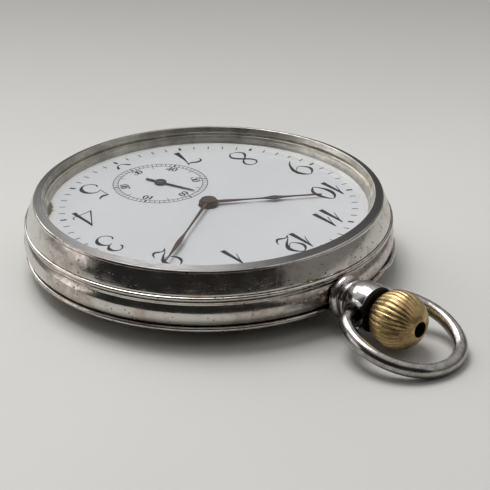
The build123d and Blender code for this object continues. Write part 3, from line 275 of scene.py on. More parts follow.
def crown_brass():
    """Brass with painted shade between the flutes, rubbed bright, with a coppery cast in places."""
    material, tree, shader, coords = start("crown_brass")
    copper = remap(tree, noise(tree, coords, 3.4, 41, 3), 0.52, 0.68, 0.0, 0.75)
    ground = mixed(tree, copper, (0.60, 0.44, 0.20), (0.56, 0.32, 0.17))
    dirt = remap(tree, noise(tree, coords, 1.8, 42, 5, 0.68), 0.45, 0.66, 0.0, 0.85)
    ground = mixed(tree, dirt, ground, (0.17, 0.10, 0.05))
    # Painted shade: ambient occlusion darkens the brass between the flutes.
    crevices = put(tree, "AmbientOcclusion", {"Distance": 0.35 * MM}, samples=8, only_local=True)
    painted_groove_shade = crevices.outputs["AO"]
    ground = mixed(tree, remap(tree, painted_groove_shade, 0.45, 0.95, 0.85, 0.0), ground, (0.07, 0.04, 0.02))
    tree.links.new(ground, shader.inputs["Base Color"])
    shader.inputs["Metallic"].default_value = 1.0
    haze = remap(tree, noise(tree, coords, 0.8, 43, 4, 0.65), 0.3, 0.7, 0.24, 0.42)
    tree.links.new(haze, shader.inputs["Roughness"])
    parts = put(tree, "SeparateXYZ", {0: coords}).outputs
    level = math_node(tree, "SUBTRACT", parts["Z"], CROWN_Z)
    squares = [math_node(tree, "MULTIPLY", side, side) for side in (parts["X"], level)]
    off_axis = math_node(tree, "SQRT", math_node(tree, "ADD", squares[0], squares[1]))
    blackened(tree, shader, remap(tree, off_axis, 0.99 * MM, 1.1 * MM, 1.0, 0.0))
    bumped(tree, shader, noise(tree, coords, 0.35, 44, 4, 0.7), 0.03)
    return material


def enamel():
    """Glossy white enamel with faint specks and a hint of warmth near its edge."""
    material, tree, shader, coords = start("enamel")
    tone = noise(tree, coords, 16, 51, 2)
    white = mixed(tree, remap(tree, tone, 0.3, 0.7), (0.72, 0.72, 0.735), (0.68, 0.68, 0.695))
    edge = remap(tree, radial(tree, coords), 20.8 * MM, 22.1 * MM, 0.0, 0.35)
    white = mixed(tree, edge, white, (0.62, 0.60, 0.55))
    fleck = spots(tree, coords, 2.6, 0.03, 0.07, 52)
    crowd = remap(tree, noise(tree, coords, 4, 53, 2), 0.55, 0.68, 0.0, 0.6)
    fleck = math_node(tree, "MULTIPLY", fleck, crowd)
    white = mixed(tree, fleck, white, (0.25, 0.23, 0.22))
    tree.links.new(white, shader.inputs["Base Color"])
    haze = remap(tree, noise(tree, coords, 5, 54, 3), 0.3, 0.7, 0.07, 0.13)
    tree.links.new(haze, shader.inputs["Roughness"])
    shader.inputs["IOR"].default_value = 1.5
    bumped(tree, shader, noise(tree, coords, 8, 55, 2, 0.4), 0.012)
    return material


def ink():
    """Fired black printing, slightly faded in places."""
    material, tree, shader, coords = start("ink")
    fade = remap(tree, noise(tree, coords, 0.5, 61, 4, 0.65), 0.45, 0.75)
    tone = mixed(tree, fade, (0.008, 0.009, 0.013), (0.035, 0.036, 0.045))
    tree.links.new(tone, shader.inputs["Base Color"])
    tree.links.new(remap(tree, fade, 0.0, 1.0, 0.45, 0.65), shader.inputs["Roughness"])
    shader.inputs["Specular IOR Level"].default_value = 0.05
    return material


def browned_steel(name, tone, rust, seed):
    """Oxidised hand steel with mottled rust."""
    material, tree, shader, coords = start(name)
    spread = remap(tree, noise(tree, coords, 0.6, seed, 5, 0.7), 0.35, 0.68)
    tree.links.new(mixed(tree, spread, tone, rust), shader.inputs["Base Color"])
    shader.inputs["Metallic"].default_value = 0.35
    tree.links.new(remap(tree, spread, 0.0, 1.0, 0.45, 0.75), shader.inputs["Roughness"])
    shader.inputs["Specular IOR Level"].default_value = 0.3
    bumped(tree, shader, noise(tree, coords, 0.15, seed + 1, 4, 0.7), 0.01)
    return material


def turned_metal(name, tone, dark, rough, seed, grain_mm=0.12, depth_mm=0.004):
    """Machined metal with a fine grain, slight staining and uneven polish."""
    material, tree, shader, coords = start(name)
    stain = remap(tree, noise(tree, coords, 2.2, seed, 4, 0.65), 0.42, 0.75)
    tree.links.new(mixed(tree, stain, tone, dark), shader.inputs["Base Color"])
    shader.inputs["Metallic"].default_value = 1.0
    grain = noise(tree, stretched(tree, coords, (1.0, 0.12, 1.0)), grain_mm, seed + 1, 3, 0.6)
    tree.links.new(remap(tree, grain, 0.3, 0.7, rough, rough + 0.14), shader.inputs["Roughness"])
    bumped(tree, shader, grain, depth_mm)
    return material


def frosted_gilt():
    """Gilded plates with a fine frosted grain."""
    material, tree, shader, coords = start("gilt")
    stain = remap(tree, noise(tree, coords, 3, 81, 4, 0.6), 0.5, 0.8)
    tree.links.new(mixed(tree, stain, (0.78, 0.58, 0.28), (0.45, 0.30, 0.14)), shader.inputs["Base Color"])
    shader.inputs["Metallic"].default_value = 1.0
    frost = noise(tree, coords, 0.06, 82, 3, 0.7)
    tree.links.new(remap(tree, frost, 0.3, 0.7, 0.30, 0.48), shader.inputs["Roughness"])
    bumped(tree, shader, frost, 0.006)
    return material


def ruby():
    """Red jewel, clear with faint inner clouds."""
    material, tree, shader, coords = start("ruby")
    cloud = noise(tree, coords, 0.5, 91, 3)
    tree.links.new(mixed(tree, cloud, (0.55, 0.02, 0.10), (0.80, 0.08, 0.22)), shader.inputs["Base Color"])
    tree.links.new(remap(tree, cloud, 0.3, 0.7, 0.03, 0.09), shader.inputs["Roughness"])
    shader.inputs["Transmission Weight"].default_value = 0.5
    shader.inputs["IOR"].default_value = 1.76
    return material


def crystal_glass():
    """Clear flat glass: see-through, with a gloss that grows at a glancing angle and faint scratches."""
    material = bpy.data.materials.new("crystal_glass")
    material.use_nodes = True
    tree = material.node_tree
    tree.nodes.clear()
    coords = put(tree, "TexCoord").outputs["Object"]
    haze = noise(tree, coords, 2.0, 95, 4, 0.7)
    gloss = put(tree, "BsdfAnisotropic", {"Roughness": remap(tree, haze, 0.3, 0.8, 0.01, 0.05)})
    clear = put(tree, "BsdfTransparent", {"Color": (0.985, 0.99, 0.988, 1.0)})
    fresnel = put(tree, "Fresnel", {"IOR": 1.2}).outputs[0]
    share = math_node(tree, "MULTIPLY", fresnel, 0.16)
    surface = put(tree, "MixShader", {0: share, 1: clear.outputs[0], 2: gloss.outputs[0]})
    put(tree, "OutputMaterial", {"Surface": surface.outputs[0]})
    return material


def dirt():
    """Dark brown grime in the enamel's chip, paler where the copper shows."""
    material, tree, shader, coords = start("chip_dirt")
    grain = remap(tree, noise(tree, coords, 0.35, 97, 5, 0.7), 0.35, 0.7)
    tone = mixed(tree, grain, (0.025, 0.018, 0.012), (0.16, 0.11, 0.07))
    tree.links.new(tone, shader.inputs["Base Color"])
    tree.links.new(remap(tree, grain, 0.0, 1.0, 0.5, 0.85), shader.inputs["Roughness"])
    bumped(tree, shader, grain, 0.05)
    return material


def bare_enamel():
    """Broken enamel edge, cream and matt."""
    material, tree, shader, coords = start("chip_edge")
    grain = remap(tree, noise(tree, coords, 0.3, 98, 4, 0.7), 0.35, 0.7)
    tree.links.new(mixed(tree, grain, (0.60, 0.55, 0.44), (0.38, 0.31, 0.20)), shader.inputs["Base Color"])
    tree.links.new(remap(tree, grain, 0.0, 1.0, 0.4, 0.7), shader.inputs["Roughness"])
    bumped(tree, shader, grain, 0.03)
    return material


def pale_paper():
    """Pale warm paper with painted shade that darkens it behind the watch, away from the camera."""
    material, tree, shader, coords = start("paper")
    away = (-cos(CAMERA_AZIMUTH), -sin(CAMERA_AZIMUTH), 0.0)
    distance = put(tree, "VectorMath", {0: coords, 1: away}, operation="DOT_PRODUCT").outputs["Value"]
    # Painted shade: the paper darkens over 17 cm behind the watch, standing in for the light falling off
    # there.
    painted_falloff = remap(tree, distance, 0.0, 0.17)
    tone = mixed(tree, painted_falloff, (0.635, 0.622, 0.592), (0.265, 0.26, 0.25))
    cloud = remap(tree, noise(tree, coords, 60, 99, 3), 0.3, 0.7, 0.0, 0.05)
    tree.links.new(mixed(tree, cloud, tone, (0.2, 0.2, 0.2)), shader.inputs["Base Color"])
    shader.inputs["Roughness"].default_value = 0.6
    shader.inputs["Specular IOR Level"].default_value = 0.25
    bumped(tree, shader, noise(tree, coords, 0.8, 100, 3), 0.01)
    return material


# Meshes


def mesh_piece(name, vertices, faces, material, body, slot=None, smooth=True):
    """New object from vertices and faces that rides a CAD body."""
    mesh = bpy.data.meshes.new(name)
    mesh.from_pydata(vertices, [], faces)
    mesh.validate()
    outward(mesh)
    mesh.materials.append(material)
    mesh.polygons.foreach_set("use_smooth", [smooth] * len(mesh.polygons))
    piece = bpy.data.objects.new(name, mesh)
    bpy.context.scene.collection.objects.link(piece)
    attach(piece, body)
    return piece


def outward(mesh):
    """Turns every face of a mesh to look outwards."""
    shell = bmesh.new()
    shell.from_mesh(mesh)
    bmesh.ops.recalc_face_normals(shell, faces=shell.faces)
    shell.to_mesh(mesh)
    shell.free()
    mesh.update()


def smooth_path(points, steps=6):
    """Points along a smooth curve through the given (x, y, half width) points."""
    padded = [points[0], *points, points[-1]]
    path = []
    for before, here, after, beyond in zip(padded, padded[1:], padded[2:], padded[3:]):
        for step in range(steps):
            t = step / steps
            path.append(
                tuple(
                    0.5 * (2 * b + (c - a) * t + (2 * a - 5 * b + 4 * c - d) * t * t
                           + (3 * b - a - 3 * c + d) * t * t * t)
                    for a, b, c, d in zip(before, here, after, beyond)
                )
            )
    return [*path, tuple(points[-1])]


class Printing:
    """Flat raised print on the dial: strokes, rings and dashes gathered into one mesh."""

    def __init__(self, thickness=0.012 * MM, sunk=0.004 * MM):
        self.vertices, self.faces = [], []
        self.low, self.high = DIAL_TOP - sunk, DIAL_TOP + thickness

    def strip(self, left, right, closed=False):
        """Closed slab between two rows of points given in metres on the dial."""
        start, count = len(self.vertices), len(left)
        for (lx, ly), (rx, ry) in zip(left, right):
            self.vertices += [(lx, ly, self.low), (lx, ly, self.high)]
            self.vertices += [(rx, ry, self.high), (rx, ry, self.low)]
        for number in range(count if closed else count - 1):
            here = start + 4 * number
            there = start + 4 * ((number + 1) % count)
            for corner in range(4):
                following = (corner + 1) % 4
                self.faces.append((here + corner, here + following, there + following, there + corner))
        if not closed:
            last = start + 4 * (count - 1)
            self.faces.append((start + 3, start + 2, start + 1, start))
            self.faces.append((last, last + 1, last + 2, last + 3))

    def stroke(self, points, place, steps=6, spread=0.03):
        """Pen stroke through (x, y, half width) points in millimetres, carried by place; spread is
        how far the ink runs past the given widths."""
        points = [(x, y, half + spread) for x, y, half in points]
        path = smooth_path(points, steps)
        left, right = [], []
        for index, (x, y, half) in enumerate(path):
            ahead = path[min(index + 1, len(path) - 1)]
            behind = path[max(index - 1, 0)]
            run = Vector((ahead[0] - behind[0], ahead[1] - behind[1]))
            side = Vector((-run.y, run.x)).normalized() * half
            left.append(place((x + side.x, y + side.y)))
            right.append(place((x - side.x, y - side.y)))
        self.strip(left, right)

    def dash(self, centre, angle, inner, outer, half):
        """Radial dash about a centre, in millimetres; the angle is measured from +X."""
        along = Vector((cos(radians(angle)), sin(radians(angle))))
        across = Vector((-along.y, along.x)) * half
        middle = Vector(centre)
        rows = [[(middle + along * r + across * s) * MM for r in (inner, outer)] for s in (1, -1)]
        self.strip([tuple(p) for p in rows[0]], [tuple(p) for p in rows[1]])

    def ring(self, centre, radius, half, sides=160):
        """Thin circle about a centre, in millimetres."""
        rows = []
        for r in (radius - half, radius + half):
            turn = [2 * pi * side / sides for side in range(sides)]
            rows.append([((centre[0] + r * cos(a)) * MM, (centre[1] + r * sin(a)) * MM) for a in turn])
        self.strip(*rows, closed=True)

    def piece(self, name, material):
        """The gathered print as one object on the case."""
        return mesh_piece(name, self.vertices, self.faces, material, "case", smooth=False)


# Numerals: each digit is a list of pen strokes, in millimetres about the digit's centre, drawn
# upright and leaning a little, with heavy curves and hairline joins

ONE = (
    ((0.40, 2.6, 0.02), (0.24, 1.9, 0.15), (0.1, 0.9, 0.2), (0, -0.1, 0.24), (-0.12, -1.2, 0.29),
     (-0.24, -2.25, 0.34)),
    ((0.18, 2.0, 0.02), (-0.28, 0.95, 0.035), (-0.78, 0.0, 0.03), (-1.0, -0.35, 0.015)),
)
TWO = (
    ((0.4, 2.45, 0.03), (-0.15, 2.27, 0.06), (-0.65, 1.77, 0.14), (-0.94, 1.16, 0.2), (-0.94, 0.62, 0.18),
     (-0.73, 0.08, 0.1), (-0.35, -0.34, 0.04), (0.08, -0.37, 0.025), (0.46, -0.07, 0.025),
     (0.73, 0.31, 0.03)),
    ((0.4, 2.45, 0.03), (0.81, 2.04, 0.13), (1.15, 1.47, 0.24), (1.25, 0.85, 0.29), (1.08, 0.24, 0.26),
     (0.65, -0.38, 0.18), (0.08, -0.96, 0.1), (-0.46, -1.38, 0.06), (-0.96, -1.84, 0.025),
     (-1.18, -2.1, 0.02)),
    ((-1.44, -2.5, 0.02), (-1.15, -2.17, 0.07), (-0.77, -2.02, 0.08), (-0.38, -2.06, 0.12), (0, -2.26, 0.17),
     (0.42, -2.37, 0.17), (0.85, -2.1, 0.11), (1.15, -1.69, 0.06), (1.37, -1.2, 0.02)),
)
THREE = (
    ((-0.59, 1.42, 0.05), (-0.62, 1.73, 0.12), (-0.41, 2.12, 0.09), (0.05, 2.46, 0.05), (0.55, 2.52, 0.06),
     (1.01, 2.27, 0.13), (1.28, 1.77, 0.24), (1.24, 1.31, 0.24), (0.94, 0.85, 0.13), (0.47, 0.5, 0.06),
     (-0.06, 0.27, 0.03)),
    ((0.5, 0.47, 0.05), (1.0, 0.1, 0.13), (1.28, -0.5, 0.25), (1.24, -1.08, 0.27), (0.94, -1.61, 0.19),
     (0.47, -2.02, 0.09), (-0.03, -2.25, 0.05), (-0.53, -2.22, 0.045), (-0.99, -1.91, 0.05),
     (-1.27, -1.39, 0.07), (-1.2, -0.92, 0.08), (-0.92, -0.6, 0.05)),
)
FOUR = (
    ((0.8, 2.78, 0.03), (0.61, 2.19, 0.15), (0.44, 1.07, 0.2), (0.32, -0.31, 0.22), (0.2, -1.44, 0.27),
     (0.05, -2.2, 0.33)),
    ((0.66, 2.55, 0.04), (-0.6, 0.86, 0.05), (-1.7, -0.65, 0.08), (-2.15, -1.19, 0.05)),
    ((-2.15, -1.17, 0.04), (-1.0, -1.06, 0.035), (0.2, -1.0, 0.035)),
    ((0.45, -1.08, 0.03), (1.05, -0.98, 0.06), (1.28, -0.65, 0.05), (1.36, -0.3, 0.02)),
)
FIVE = (
    ((-0.74, 2.55, 0.1), (-0.35, 2.36, 0.19), (0.05, 2.32, 0.2), (0.47, 2.43, 0.15), (0.91, 2.71, 0.07),
     (1.14, 2.96, 0.02)),
    ((-0.7, 2.5, 0.04), (-0.8, 1.56, 0.035), (-0.95, 0.42, 0.03)),
    ((-0.97, 0.43, 0.03), (-0.28, 0.75, 0.045), (0.41, 0.62, 0.1), (0.97, 0.12, 0.2), (1.19, -0.56, 0.28),
     (1.03, -1.31, 0.26), (0.47, -1.94, 0.14), (-0.28, -2.23, 0.06), (-1.03, -2.0, 0.05),
     (-1.49, -1.44, 0.07), (-1.5, -1.0, 0.1), (-1.26, -0.69, 0.05)),
)
SEVEN = (
    ((-1.11, 1.23, 0.03), (-0.92, 1.79, 0.1), (-0.42, 2.08, 0.18), (0.2, 1.98, 0.2), (0.77, 1.67, 0.16),
     (1.27, 1.67, 0.08), (1.7, 2.04, 0.02)),
    ((1.6, 1.95, 0.02), (1.02, 0.73, 0.09), (0.64, -0.4, 0.19), (0.33, -1.52, 0.3), (0.08, -2.58, 0.43)),
)
EIGHT = (
    ((0.21, 2.8, 0.04), (-0.41, 2.47, 0.07), (-0.78, 1.87, 0.13), (-0.6, 1.15, 0.18), (0.03, 0.44, 0.21),
     (0.74, -0.31, 0.23), (1.13, -1.06, 0.2), (0.99, -1.72, 0.12), (0.44, -2.29, 0.05), (-0.03, -2.4, 0.03)),
    ((0.21, 2.8, 0.04), (0.84, 2.57, 0.09), (1.2, 1.94, 0.15), (0.99, 1.19, 0.14), (0.34, 0.53, 0.07),
     (-0.41, -0.04, 0.1), (-1.07, -0.78, 0.17), (-1.22, -1.41, 0.17), (-0.88, -2.04, 0.09),
     (-0.03, -2.4, 0.03)),
)
NINE = (
    ((-0.25, 2.59, 0.03), (-0.79, 2.24, 0.08), (-1.33, 1.7, 0.16), (-1.64, 1.08, 0.2), (-1.65, 0.62, 0.19),
     (-1.41, 0.08, 0.12), (-1.06, -0.34, 0.06), (-0.64, -0.49, 0.03), (-0.18, -0.26, 0.03),
     (0.35, 0.3, 0.03)),
    ((-0.25, 2.59, 0.03), (0.21, 2.32, 0.13), (0.59, 1.78, 0.24), (0.82, 1.16, 0.28), (0.82, 0.62, 0.27),
     (0.71, 0.01, 0.25), (0.44, -0.61, 0.2), (0.05, -1.3, 0.15), (-0.41, -1.96, 0.1), (-0.95, -2.46, 0.05),
     (-1.33, -2.84, 0.02)),
)
ZERO = (
    ((0.25, 2.39, 0.035), (-0.69, 1.39, 0.2), (-1.06, 0, 0.28), (-0.81, -1.37, 0.15), (-0.25, -2.39, 0.035)),
    ((0.25, 2.39, 0.035), (0.88, 1.63, 0.16), (1.15, 0.06, 0.28), (0.81, -1.37, 0.19),
     (-0.25, -2.39, 0.035)),
)
SIX_BOWL = (
    ((-1.15, -0.05, 0.14), (-0.92, -0.5, 0.15), (-0.45, -0.98, 0.06), (0, -1.12, 0.04), (0.45, -0.98, 0.06),
     (0.9, -0.42, 0.15), (1.1, 0.05, 0.16)),
)


def upside_down(strokes):
    """A digit turned half a turn about its centre."""
    return tuple(tuple((-x, -y, half) for x, y, half in stroke) for stroke in strokes)


SIX = upside_down(NINE)
DIGITS = {"0": ZERO, "1": ONE, "2": TWO, "3": THREE, "4": FOUR, "5": FIVE, "6": SIX}

# Hour numerals: the strokes and the place of each on the dial, in millimetres
HOURS = (
    (ONE, (8.62, 14.12)),
    (TWO, (14.8, 8.58)),
    (THREE, (17.41, -0.2)),
    (FOUR, (15.02, -8.69)),
    (FIVE, (8.53, -14.81)),
    (SIX_BOWL, (0.0, -18.1)),
    (SEVEN, (-8.83, -14.23)),
    (EIGHT, (-14.59, -8.59)),
    (NINE, (-17.4, -0.2)),
    (ONE, (-16.28, 8.0)),
    (ZERO, (-14.25, 8.24)),
    (ONE, (-9.58, 14.2)),
    (ONE, (-8.0, 14.5)),
    (ONE, (-1.4, 16.65)),
    (TWO, (0.46, 16.9)),
)


def hour_numerals(material):
    """Upright numerals of the hour circle."""
    printing = Printing()
    for strokes, (x, y) in HOURS:
        for stroke in strokes:
            printing.stroke(stroke, lambda p, x=x, y=y: ((p[0] + x) * MM, (p[1] + y) * MM))
    return printing.piece("print_hours", material)


def minute_ticks(material):
    """Sixty dashes near the edge, heavier at each fifth."""
    inner, outer, heavy, light = 19.75, 20.6, 0.18, 0.08
    printing = Printing()
    for minute in range(60):
        half = heavy if minute % 5 == 0 else light
        printing.dash((0, 0), 90 - 6 * minute, inner, outer, half)
    return printing.piece("print_minutes", material)


def seconds_track(material):
    """Double circle, sixty dashes and radial numerals of the small seconds."""
    centre = (SECONDS_AT[0] / MM, SECONDS_AT[1] / MM)
    inner, outer, digit_r, size = 6.0, 6.72, 5.1, 0.26
    light, heavy, mark, mark_half = 0.045, 0.12, 0.75, 0.04
    tens_shift, units_shift, weight, spread, steps = -0.36, 0.38, 1.3, 0.04, 4
    printing = Printing()
    printing.ring(centre, inner, light)
    printing.ring(centre, outer, light)
    for second in range(60):
        half = heavy if second % 10 == 0 else light
        printing.dash(centre, 90 - 6 * second, inner, outer, half)
        if second % 10 == 5:
            printing.dash(centre, 90 - 6 * second, inner - mark, inner, mark_half)
    for tens in range(1, 7):
        turn = Matrix.Rotation(radians(-60 * tens), 2)
        for digit, shift in ((str(tens), tens_shift), ("0", units_shift)):
            for stroke in DIGITS[digit]:
                small = [
                    (x * size + shift, y * size + digit_r, half * size * weight) for x, y, half in stroke
                ]

                def place(point, turn=turn):
                    turned = turn @ Vector(point)
                    return ((turned.x + centre[0]) * MM, (turned.y + centre[1]) * MM)

                printing.stroke(small, place, steps, spread)
    return printing.piece("print_seconds", material)


def enamel_chip(dirt_material, edge_material):
    """Crescent lost from the enamel between four and five o'clock, with its pale broken edge."""
    steps, middle_angle, sweep, rim_r, edge_r = 28, -40.5, 13.4, 22.05, 22.02
    for name, material, depth, lift, spread in (
        ("chip_edge", edge_material, 1.0, 0.006, 1.0),
        ("chip", dirt_material, 0.68, 0.012, 0.86),
    ):
        printing = Printing(lift * MM)
        outer, inner = [], []
        for step in range(steps + 1):
            share = step / steps
            angle = radians(middle_angle + (share - 0.5) * sweep * spread)
            rough = 0.12 * sin(23 * share) + 0.07 * sin(61 * share + 1)
            bite = depth * (0.78 * sin(pi * share) ** 0.7 + rough * sin(pi * share))
            bitten_r = edge_r - max(bite, 0.0)
            outer.append((rim_r * MM * cos(angle), rim_r * MM * sin(angle)))
            inner.append((bitten_r * MM * cos(angle), bitten_r * MM * sin(angle)))
        printing.strip(outer, inner)
        printing.piece(name, material)


# Case profiles: (radius, height) points in millimetres, with arcs given by their middle point


def bend(start_point, middle, end_point, steps=10):
    """Points of the circle arc through three points, without its first one."""
    (ax, ay), (bx, by), (cx, cy) = start_point, middle, end_point
    scale = 2 * (ax * (by - cy) + bx * (cy - ay) + cx * (ay - by))
    squares = [x * x + y * y for x, y in (start_point, middle, end_point)]
    ox = (squares[0] * (by - cy) + squares[1] * (cy - ay) + squares[2] * (ay - by)) / scale
    oy = (squares[0] * (cx - bx) + squares[1] * (ax - cx) + squares[2] * (bx - ax)) / scale
    radius = hypot(ax - ox, ay - oy)
    first = atan2(ay - oy, ax - ox)
    turns = [(atan2(y - oy, x - ox) - first) % (2 * pi) for x, y in (middle, end_point)]
    sweep = turns[1] if turns[0] < turns[1] else turns[1] - 2 * pi
    angles = [first + sweep * step / steps for step in range(1, steps + 1)]
    return [(ox + radius * cos(angle), oy + radius * sin(angle)) for angle in angles]


BEZEL_PROFILE = [
    (25.05, 6.65), (24.2, 6.65), (23.32, 6.65), (23.32, 7.5), (22.35, 7.5), (22.35, 8.46), (22.0, 8.46),
    (22.42, 9.48), (22.92, 9.6), (22.92, 9.84), (22.62, 9.94), (22.9, 10.62), (22.96, 10.66), (23.1, 10.61),
    (23.8, 10.36),
    *bend((23.8, 10.36), (24.05, 10.23), (24.15, 10.0)),
    *bend((24.15, 10.0), (24.69, 8.67), (25.12, 7.3), 16),
    (25.08, 7.16),
    *bend((25.08, 7.16), (25.45, 6.9), (25.05, 6.65), 12)[:-1],
]
BAND_PROFILE = [
    (24.9, 2.95), (23.6, 2.95), (22.4, 2.95), (22.4, 5.35), (21.45, 5.35), (21.45, 6.2), (22.3, 6.2),
    (22.3, 7.4), (23.05, 7.4), (23.2, 7.25), (23.2, 6.6), (24.2, 6.6), (25.0, 6.6),
    *bend((25.0, 6.6), (25.27, 6.34), (25.06, 6.1)),
    (25.06, 5.95),
    *bend((25.06, 5.95), (25.6, 4.6), (25.12, 3.15), 20),
]
BACK_PROFILE = [
    (0, 0), (7, 0), (14, 0),
    *bend((14, 0), (19.2, 0.34), (22.4, 0.95)),
    *bend((22.4, 0.95), (24.0, 1.55), (25.0, 2.25)),
    *bend((25.0, 2.25), (25.42, 2.62), (25.1, 2.9)),
    (24.3, 2.9), (24.1, 2.3),
    *bend((24.1, 2.3), (23.1, 1.7), (21.6, 1.18)),
    *bend((21.6, 1.18), (18.4, 0.78), (14, 0.6)),
    (7, 0.6), (0, 0.6),
]
LIP_PROFILE = [
    (25.35, 2.9), (24.9, 2.88), (24.9, 2.3), (25.5, 2.36),
    *bend((25.5, 2.36), (25.88, 2.68), (25.6, 3.02)),
]
HINGE_Y, KNUCKLE_R, KNUCKLE_CLEAR = -25.75, 0.6, 0.68
LIP_START, LIP_SWEEP, LIP_TAPER, LIP_ROOT_R = 113.0, 48.0, 9.0, 25.0
BEZEL_HINGE_Z, BACK_HINGE_Z = 6.65, 2.95
OUTER_KNUCKLES, INNER_KNUCKLE = ((-3.6, -1.55), (1.55, 3.6)), (-1.5, 1.5)
DUST_HINGE_Y, DUST_HINGE_Z, DUST_KNUCKLE_R = -23.45, 2.5, 0.4
CENTRE_SEAT, SEAT_MIDDLE, SEAT_HALF = (-1.55, 1.55), 2.57, 1.07
# Webs that join the knuckles to their rings: limits across and up, in millimetres
BEZEL_WEB, BACK_WEB = ((HINGE_Y, -24.7), (6.7, 7.2)), ((HINGE_Y, -24.8), (2.4, 2.88))
BAND_WEBS = (((HINGE_Y, -25.0), (5.9, 6.55)), ((HINGE_Y, -25.0), (2.98, 3.5)))
# Steps of the turned meshes, in degrees: everywhere, and between two angles beside the hinge
COARSE_STEP, FINE_STEP, FINE_COUNT = 1.5, 0.1, 197
FINE_START, FINE_END = 260.2, 279.8


def dented(x, y, z, seats):
    """Point moved inwards where it lies in the seat of a hinge knuckle; all in millimetres."""
    for low, high, axis_z in seats:
        if y < 0 and low <= x <= high and abs(z - axis_z) < KNUCKLE_CLEAR:
            y = max(y, HINGE_Y + sqrt(KNUCKLE_CLEAR**2 - (z - axis_z) ** 2))
    return x, y, z


def lathe(profile, seats=(), start_angle=0.0, sweep=360.0):
    """Vertices and faces of a closed profile turned about the case axis; finer by the hinge."""
    steps = int(sweep // COARSE_STEP)
    angles = [start_angle + sweep * step / steps for step in range(steps + (sweep < 360))]
    if seats:
        fine = [FINE_START + FINE_STEP * step for step in range(FINE_COUNT)]
        angles = sorted([angle for angle in angles if not FINE_START < angle < FINE_END] + fine)
    vertices, rings = [], []
    for angle in angles:
        ring = []
        for radius, z in profile:
            if radius == 0 and rings:
                ring.append(rings[0][len(ring)])
                continue
            ring.append(len(vertices))
            if sweep < 360:
                ends = min(angle - start_angle, start_angle + sweep - angle) / LIP_TAPER
                radius = LIP_ROOT_R + (radius - LIP_ROOT_R) * min(1.0, 0.15 + ends)
            x, y, z = dented(radius * cos(radians(angle)), radius * sin(radians(angle)), z, seats)
            vertices.append((x * MM, y * MM, z * MM))
        rings.append(ring)
    faces, count = [], len(profile)
    pairs = list(zip(rings, rings[1:] + rings[:1]))
    if sweep < 360:
        pairs = pairs[:-1]
        faces += [tuple(rings[0]), tuple(reversed(rings[-1]))]
    for here, there in pairs:
        for index in range(count):
            following = (index + 1) % count
            corners = (here[index], here[following], there[following], there[index])
            kept = tuple(dict.fromkeys(corners))
            if len(kept) > 2:
                faces.append(kept)
    return vertices, faces


def rod(low, high, y, z, radius, sides=28):
    """Vertices and faces of a closed round bar along X, with softened ends; in millimetres."""
    soft = 0.06
    rings = ((low, radius - soft), (low + soft, radius), (high - soft, radius), (high, radius - soft))
    vertices = [
        (x * MM, (y + r * cos(2 * pi * side / sides)) * MM, (z + r * sin(2 * pi * side / sides)) * MM)
        for x, r in rings
        for side in range(sides)
    ]
    faces = [tuple(reversed(range(sides))), tuple(range(3 * sides, 4 * sides))]
    for ring in range(3):
        for side in range(sides):
            a, b = ring * sides + side, ring * sides + (side + 1) % sides
            faces.append((a, b, b + sides, a + sides))
    return vertices, faces


def slab(x, y, z):
    """Vertices and faces of a plain web between low and high limits, in millimetres."""
    vertices = [(a * MM, b * MM, c * MM) for a in x for b in y for c in z]
    faces = [(0, 1, 3, 2), (4, 6, 7, 5), (0, 4, 5, 1), (2, 3, 7, 6), (0, 2, 6, 4), (1, 5, 7, 3)]
    return vertices, faces


def joined(*shapes):
    """One list of vertices and one of faces from several shapes."""
    vertices, faces = [], []
    for shape_vertices, shape_faces in shapes:
        shift = len(vertices)
        vertices += shape_vertices
        faces += [tuple(corner + shift for corner in face) for face in shape_faces]
    return vertices, faces


def case_piece(name, shape, material, body, slot, replaced):
    """Smooth piece with crisp edges that stands in for a CAD node."""
    piece = mesh_piece(name, *shape, material, body, slot)
    piece.data.set_sharp_from_angle(angle=radians(32))
    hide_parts(replaced)
    return piece


def case_shell(silver, bezel_metal):
    """Bezel, band and back turned from their profiles, with their hinge knuckles."""
    centre_seats = tuple((*CENTRE_SEAT, z) for z in (BEZEL_HINGE_Z, BACK_HINGE_Z))
    outer_seats = tuple(
        (side * SEAT_MIDDLE - SEAT_HALF, side * SEAT_MIDDLE + SEAT_HALF, z)
        for side in (-1, 1)
        for z in (BEZEL_HINGE_Z, BACK_HINGE_Z)
    )
    outer = [rod(*span, HINGE_Y, BEZEL_HINGE_Z, KNUCKLE_R) for span in OUTER_KNUCKLES]
    webs = [slab(span, *BEZEL_WEB) for span in OUTER_KNUCKLES]
    shape = joined(lathe(BEZEL_PROFILE, centre_seats), *outer, *webs)
    case_piece("bezel_ring", shape, bezel_metal, "bezel", "bezel_silver", "bezel")
    inner = [rod(*INNER_KNUCKLE, HINGE_Y, z, KNUCKLE_R) for z in (BEZEL_HINGE_Z, BACK_HINGE_Z)]
    inner.append(rod(*INNER_KNUCKLE, DUST_HINGE_Y, DUST_HINGE_Z, DUST_KNUCKLE_R))
    webs = [slab(INNER_KNUCKLE, *limits) for limits in BAND_WEBS]
    shape = joined(lathe(BAND_PROFILE, outer_seats), *inner, *webs)
    case_piece("band_ring", shape, silver, "case", "case_silver", "case_band")
    outer = [rod(*span, HINGE_Y, BACK_HINGE_Z, KNUCKLE_R) for span in OUTER_KNUCKLES]
    webs = [slab(span, *BACK_WEB) for span in OUTER_KNUCKLES]
    lip = lathe(LIP_PROFILE, (), LIP_START, LIP_SWEEP)
    shape = joined(lathe(BACK_PROFILE, centre_seats), lip, *outer, *webs)
    case_piece("back_shell", shape, silver, "back", "case_silver", "back_cover")




